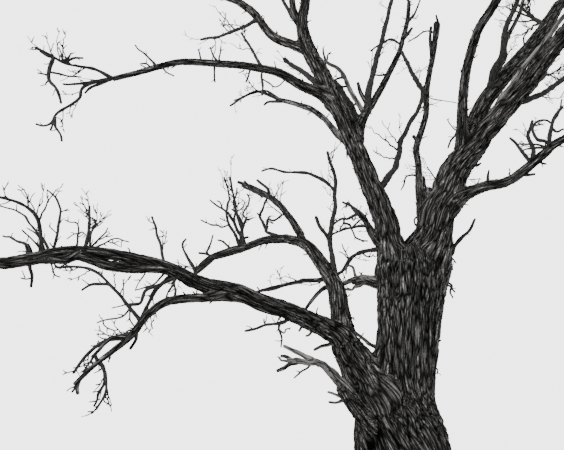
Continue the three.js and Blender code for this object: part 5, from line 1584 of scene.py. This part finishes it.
def lay_out(table, parents, has_tip):
    """The courses, as the solids step them, and the joints of each row of a table."""
    courses = {}
    lines = {}
    for row in table:
        name, parent_name, at, thick = row[:4]
        parent = courses.get(parent_name) or parents[parent_name]
        tip = row[4] if has_tip else None
        joints, thicknesses = limb_joints(parent, at, thick, tip, row[-1])
        swell_run = 0 if at == 1 else place_on_one(parent, at)[1] / 2
        courses[name] = smooth_course(joints, thicknesses, SOLID_STEPS)
        lines[name] = Limb(joints, thicknesses, swell_run)
    return courses, lines


def footed(course, swell_run):
    """A course that is thinner near its foot, as its skin is."""
    return Course(course.points, course.thick * foot_share(course.run, swell_run), course.run)


def gap_function(name, course):
    """The gap function of a limb or of the trunk."""
    if name == "trunk":
        return gap_to_trunk
    return lambda points: near_gap(points, course)


def near_gap(points, course):
    """The gap to a limb, worked out only near its box and taken as far elsewhere."""
    reach = course.thick.max() + BLEND_MOST
    low = course.points.min(axis=0) - reach
    high = course.points.max(axis=0) + reach
    close = ((points > low) & (points < high)).all(axis=1)
    gap = np.full(len(points), FAR_GAP)
    if close.any():
        gap[close] = gap_to_course(points[close], course)
    return gap


def neighbours_of(name, courses, fine):
    """What a limb blends into, with the blend radius: its parent, the limbs that leave it, and limbs
    that leave the same parent close to it."""
    own = next((row for row in BOUGHS if row[0] == name), None)
    near = []
    for row in BOUGHS:
        other, parent, at, thick = row[:4]
        thinner = thick * MM
        if at == 1 or other == name:
            continue
        if parent == name:
            near.append((gap_function(other, fine[other]), min(BLEND_SHARE * thinner, BLEND_MOST)))
        elif own and parent == own[1] and own[2] < 1:
            apart = np.linalg.norm(courses[other].points[0] - courses[name].points[0])
            if apart < (thinner + own[3] * MM) / 2:
                radius = CROTCH_BLEND_SHARE * min(thinner, own[3] * MM)
                near.append((gap_function(other, fine[other]), radius))
    if own and own[2] < 1:
        radius = min(BLEND_SHARE * own[3] * MM, BLEND_MOST)
        near.append((gap_function(own[1], fine.get(own[1])), radius))
    return near


def build_tree():
    """Bark over the trunk and each bough, and a twig mass over each mass, each standing for its solid."""
    strands = strand_group()
    bark = bark_material(strands)
    bare_wood = bare_wood_material(strands)
    twig_bark = twig_material(strands)
    trunk = {"trunk": trunk_course()}
    courses, lines = lay_out(BOUGHS, trunk, False)
    stems, stem_lines = lay_out(MASSES, courses, True)
    fine = {name: footed(smooth_course(line.joints, line.thicknesses, FINE_STEPS), line.swell_run)
            for name, line in lines.items()}

    place(trunk_piece(neighbours_of("trunk", courses, fine), bark), "bark", "trunk")
    for number, row in enumerate(BOUGHS):
        name = row[0]
        bare = name in BARE_LIMBS
        neighbours = [] if bare else neighbours_of(name, courses, fine)
        skin = limb_skin(lines[name], neighbours, number + 1, BARE_ROUGHNESS if bare else 1)
        piece_name = name.replace("_limb", "_wood") if bare else name + "_bark"
        piece = skins_piece(piece_name, [skin], bare_wood if bare else bark)
        place(piece, "bare_wood" if bare else "bark", name)
    limbs = [trunk["trunk"], *courses.values()]
    for number, row in enumerate(MASSES):
        name = row[0]
        others = [stem for other, stem in stems.items() if other != name]
        piece = mass_piece(Mass(*row), stem_lines[name], stems[name], others, limbs, number, twig_bark)
        place(piece, "twigs", name)
    build_dead_spurs(lines, twig_bark)
    finishes = {"bark": bark, "bare_wood": bare_wood, "twigs": twig_bark}
    build_seen_forms({**trunk, **courses, **stems}, finishes)


def place(piece, slot, *nodes):
    """The piece rides on the tree's one body and stands for its solids, which are hidden. The slot is not
    used.
    """
    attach(piece, "root")
    if nodes:
        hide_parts(*nodes)


def camera_axes():
    """The camera's right, up and forward directions."""
    tilt_sine = math.sin(CAMERA_TILT)
    tilt_cosine = math.cos(CAMERA_TILT)
    return np.array([[1, 0, 0], [0, -tilt_sine, tilt_cosine], [0, tilt_cosine, tilt_sine]])


def seen_at(points):
    """Where points are seen, in pixels of the photograph: right and up over forward, times the lens's
    length in pixels, from the frame's middle."""
    right, up, forward = np.moveaxis((np.asarray(points) - CAMERA_PLACE) @ camera_axes().T, -1, 0)
    return np.stack([PHOTO_SIZE[0] / 2 + right / forward * LENS_PIXELS,
                     PHOTO_SIZE[1] / 2 - up / forward * LENS_PIXELS], axis=-1)


def standing_at(pixels, depths):
    """The places along Y = depth that are seen at these pixels."""
    pixels = np.asarray(pixels, float)
    parts = np.stack([(pixels[:, 0] - PHOTO_SIZE[0] / 2) / LENS_PIXELS,
                      (PHOTO_SIZE[1] / 2 - pixels[:, 1]) / LENS_PIXELS, np.ones(len(pixels))], axis=-1)
    rays = parts @ camera_axes()
    return CAMERA_PLACE + rays * ((depths - CAMERA_PLACE[1]) / rays[:, 1])[:, None]


def seen_joints(carrier, away, line):
    """The joints of a form seen in the photograph. Its foot is the place on its carrier's middle line
    that is seen nearest to the line's first pixel. The rest lies at the foot's depth, drawing away by
    the share of the line's length, or beside the carrier: at the depth of what is seen nearest."""
    even = np.linspace(0, carrier.run[-1], SEARCH_PLACES)
    points = np.stack([np.interp(even, carrier.run, part) for part in carrier.points.T], -1)
    line = np.asarray(line, float)
    apart = np.linalg.norm(seen_at(points)[None] - line[:, None], axis=-1)
    nearest = points[np.argmin(apart, axis=1)]
    if away is BESIDE:
        depths = nearest[1:, 1]
    else:
        share = run_along(line)
        depths = nearest[0, 1] + away * MM * share[1:] / share[-1]
    return np.concatenate([nearest[:1], standing_at(line[1:], depths)])


def legs_as_level(joints, thicknesses, seed):
    """Each two legs of a line as a twig of a level, so that the twig rule can grow spurs on them."""
    first = np.arange(0, len(joints) - 2, 2)
    windows = first[:, None] + np.arange(3)
    return Level(joints[windows], thicknesses[windows], child_seed(np.uint64(seed), first))


def spurs_on(level, gap, most, length, thinnest):
    """Short broken spurs of up to the given length on the twigs of a level, by the twig rule. Their
    feet are sunk just below their carrier's skin."""
    run = run_along(level.joints)[:, -1]
    level = side_twigs(level, gap, most, length / run, 0.0, thinnest, from_skin=SPUR_FROM_SKIN)
    return twig_skins(level, *BROKEN_SPUR_SHAPE)


def build_seen_forms(courses, finishes):
    """The small forms that the photograph shows on the limbs, as one piece for each finish, with short
    spurs on the twigs."""
    skins = {slot: [] for slot in finishes}
    for number, (carrier, slot, thick, tip, away, line, *names) in enumerate(SEEN_FORMS):
        joints = seen_joints(courses[carrier], away, line)
        thicknesses = np.linspace(thick, tip, len(joints)) * MM
        for name in names:
            courses[name] = smooth_course(joints, thicknesses, FINE_STEPS)
        if slot == "bark":
            skin = limb_skin(Limb(joints, thicknesses, 0), [], number + SEEN_BARK_SEED, SEEN_ROUGHNESS)
        else:
            skin = stem_skin(joints, thicknesses, SEEN_SIDES, number + SEEN_STEM_SEED, 0, SEEN_GAP)
        skins[slot].append(skin)
        if slot == "twigs":
            level = legs_as_level(joints, thicknesses, number + SEEN_SPUR_SEED)
            skins[slot].append(
                spurs_on(level, SEEN_SPUR_GAP, SEEN_SPUR_MOST, SEEN_SPUR_LENGTH, THINNEST_SPUR))
    for slot, some in skins.items():
        place(skins_piece("seen_" + slot, some, finishes[slot]), slot)


def build_dead_spurs(lines, finish):
    """Short dead spurs and splinters all along the boughs, as one piece."""
    some = []
    for number, line in enumerate(lines.values()):
        level = legs_as_level(line.joints, line.thicknesses, number + DEAD_SPUR_SEED)
        some.append(spurs_on(level, DEAD_SPUR_GAP, DEAD_SPUR_MOST, DEAD_SPUR_LENGTH, THINNEST_DEAD_SPUR))
    place(skins_piece("dead_spurs", some, finish), "twigs")


build_stage()
build_camera()
build_tree()
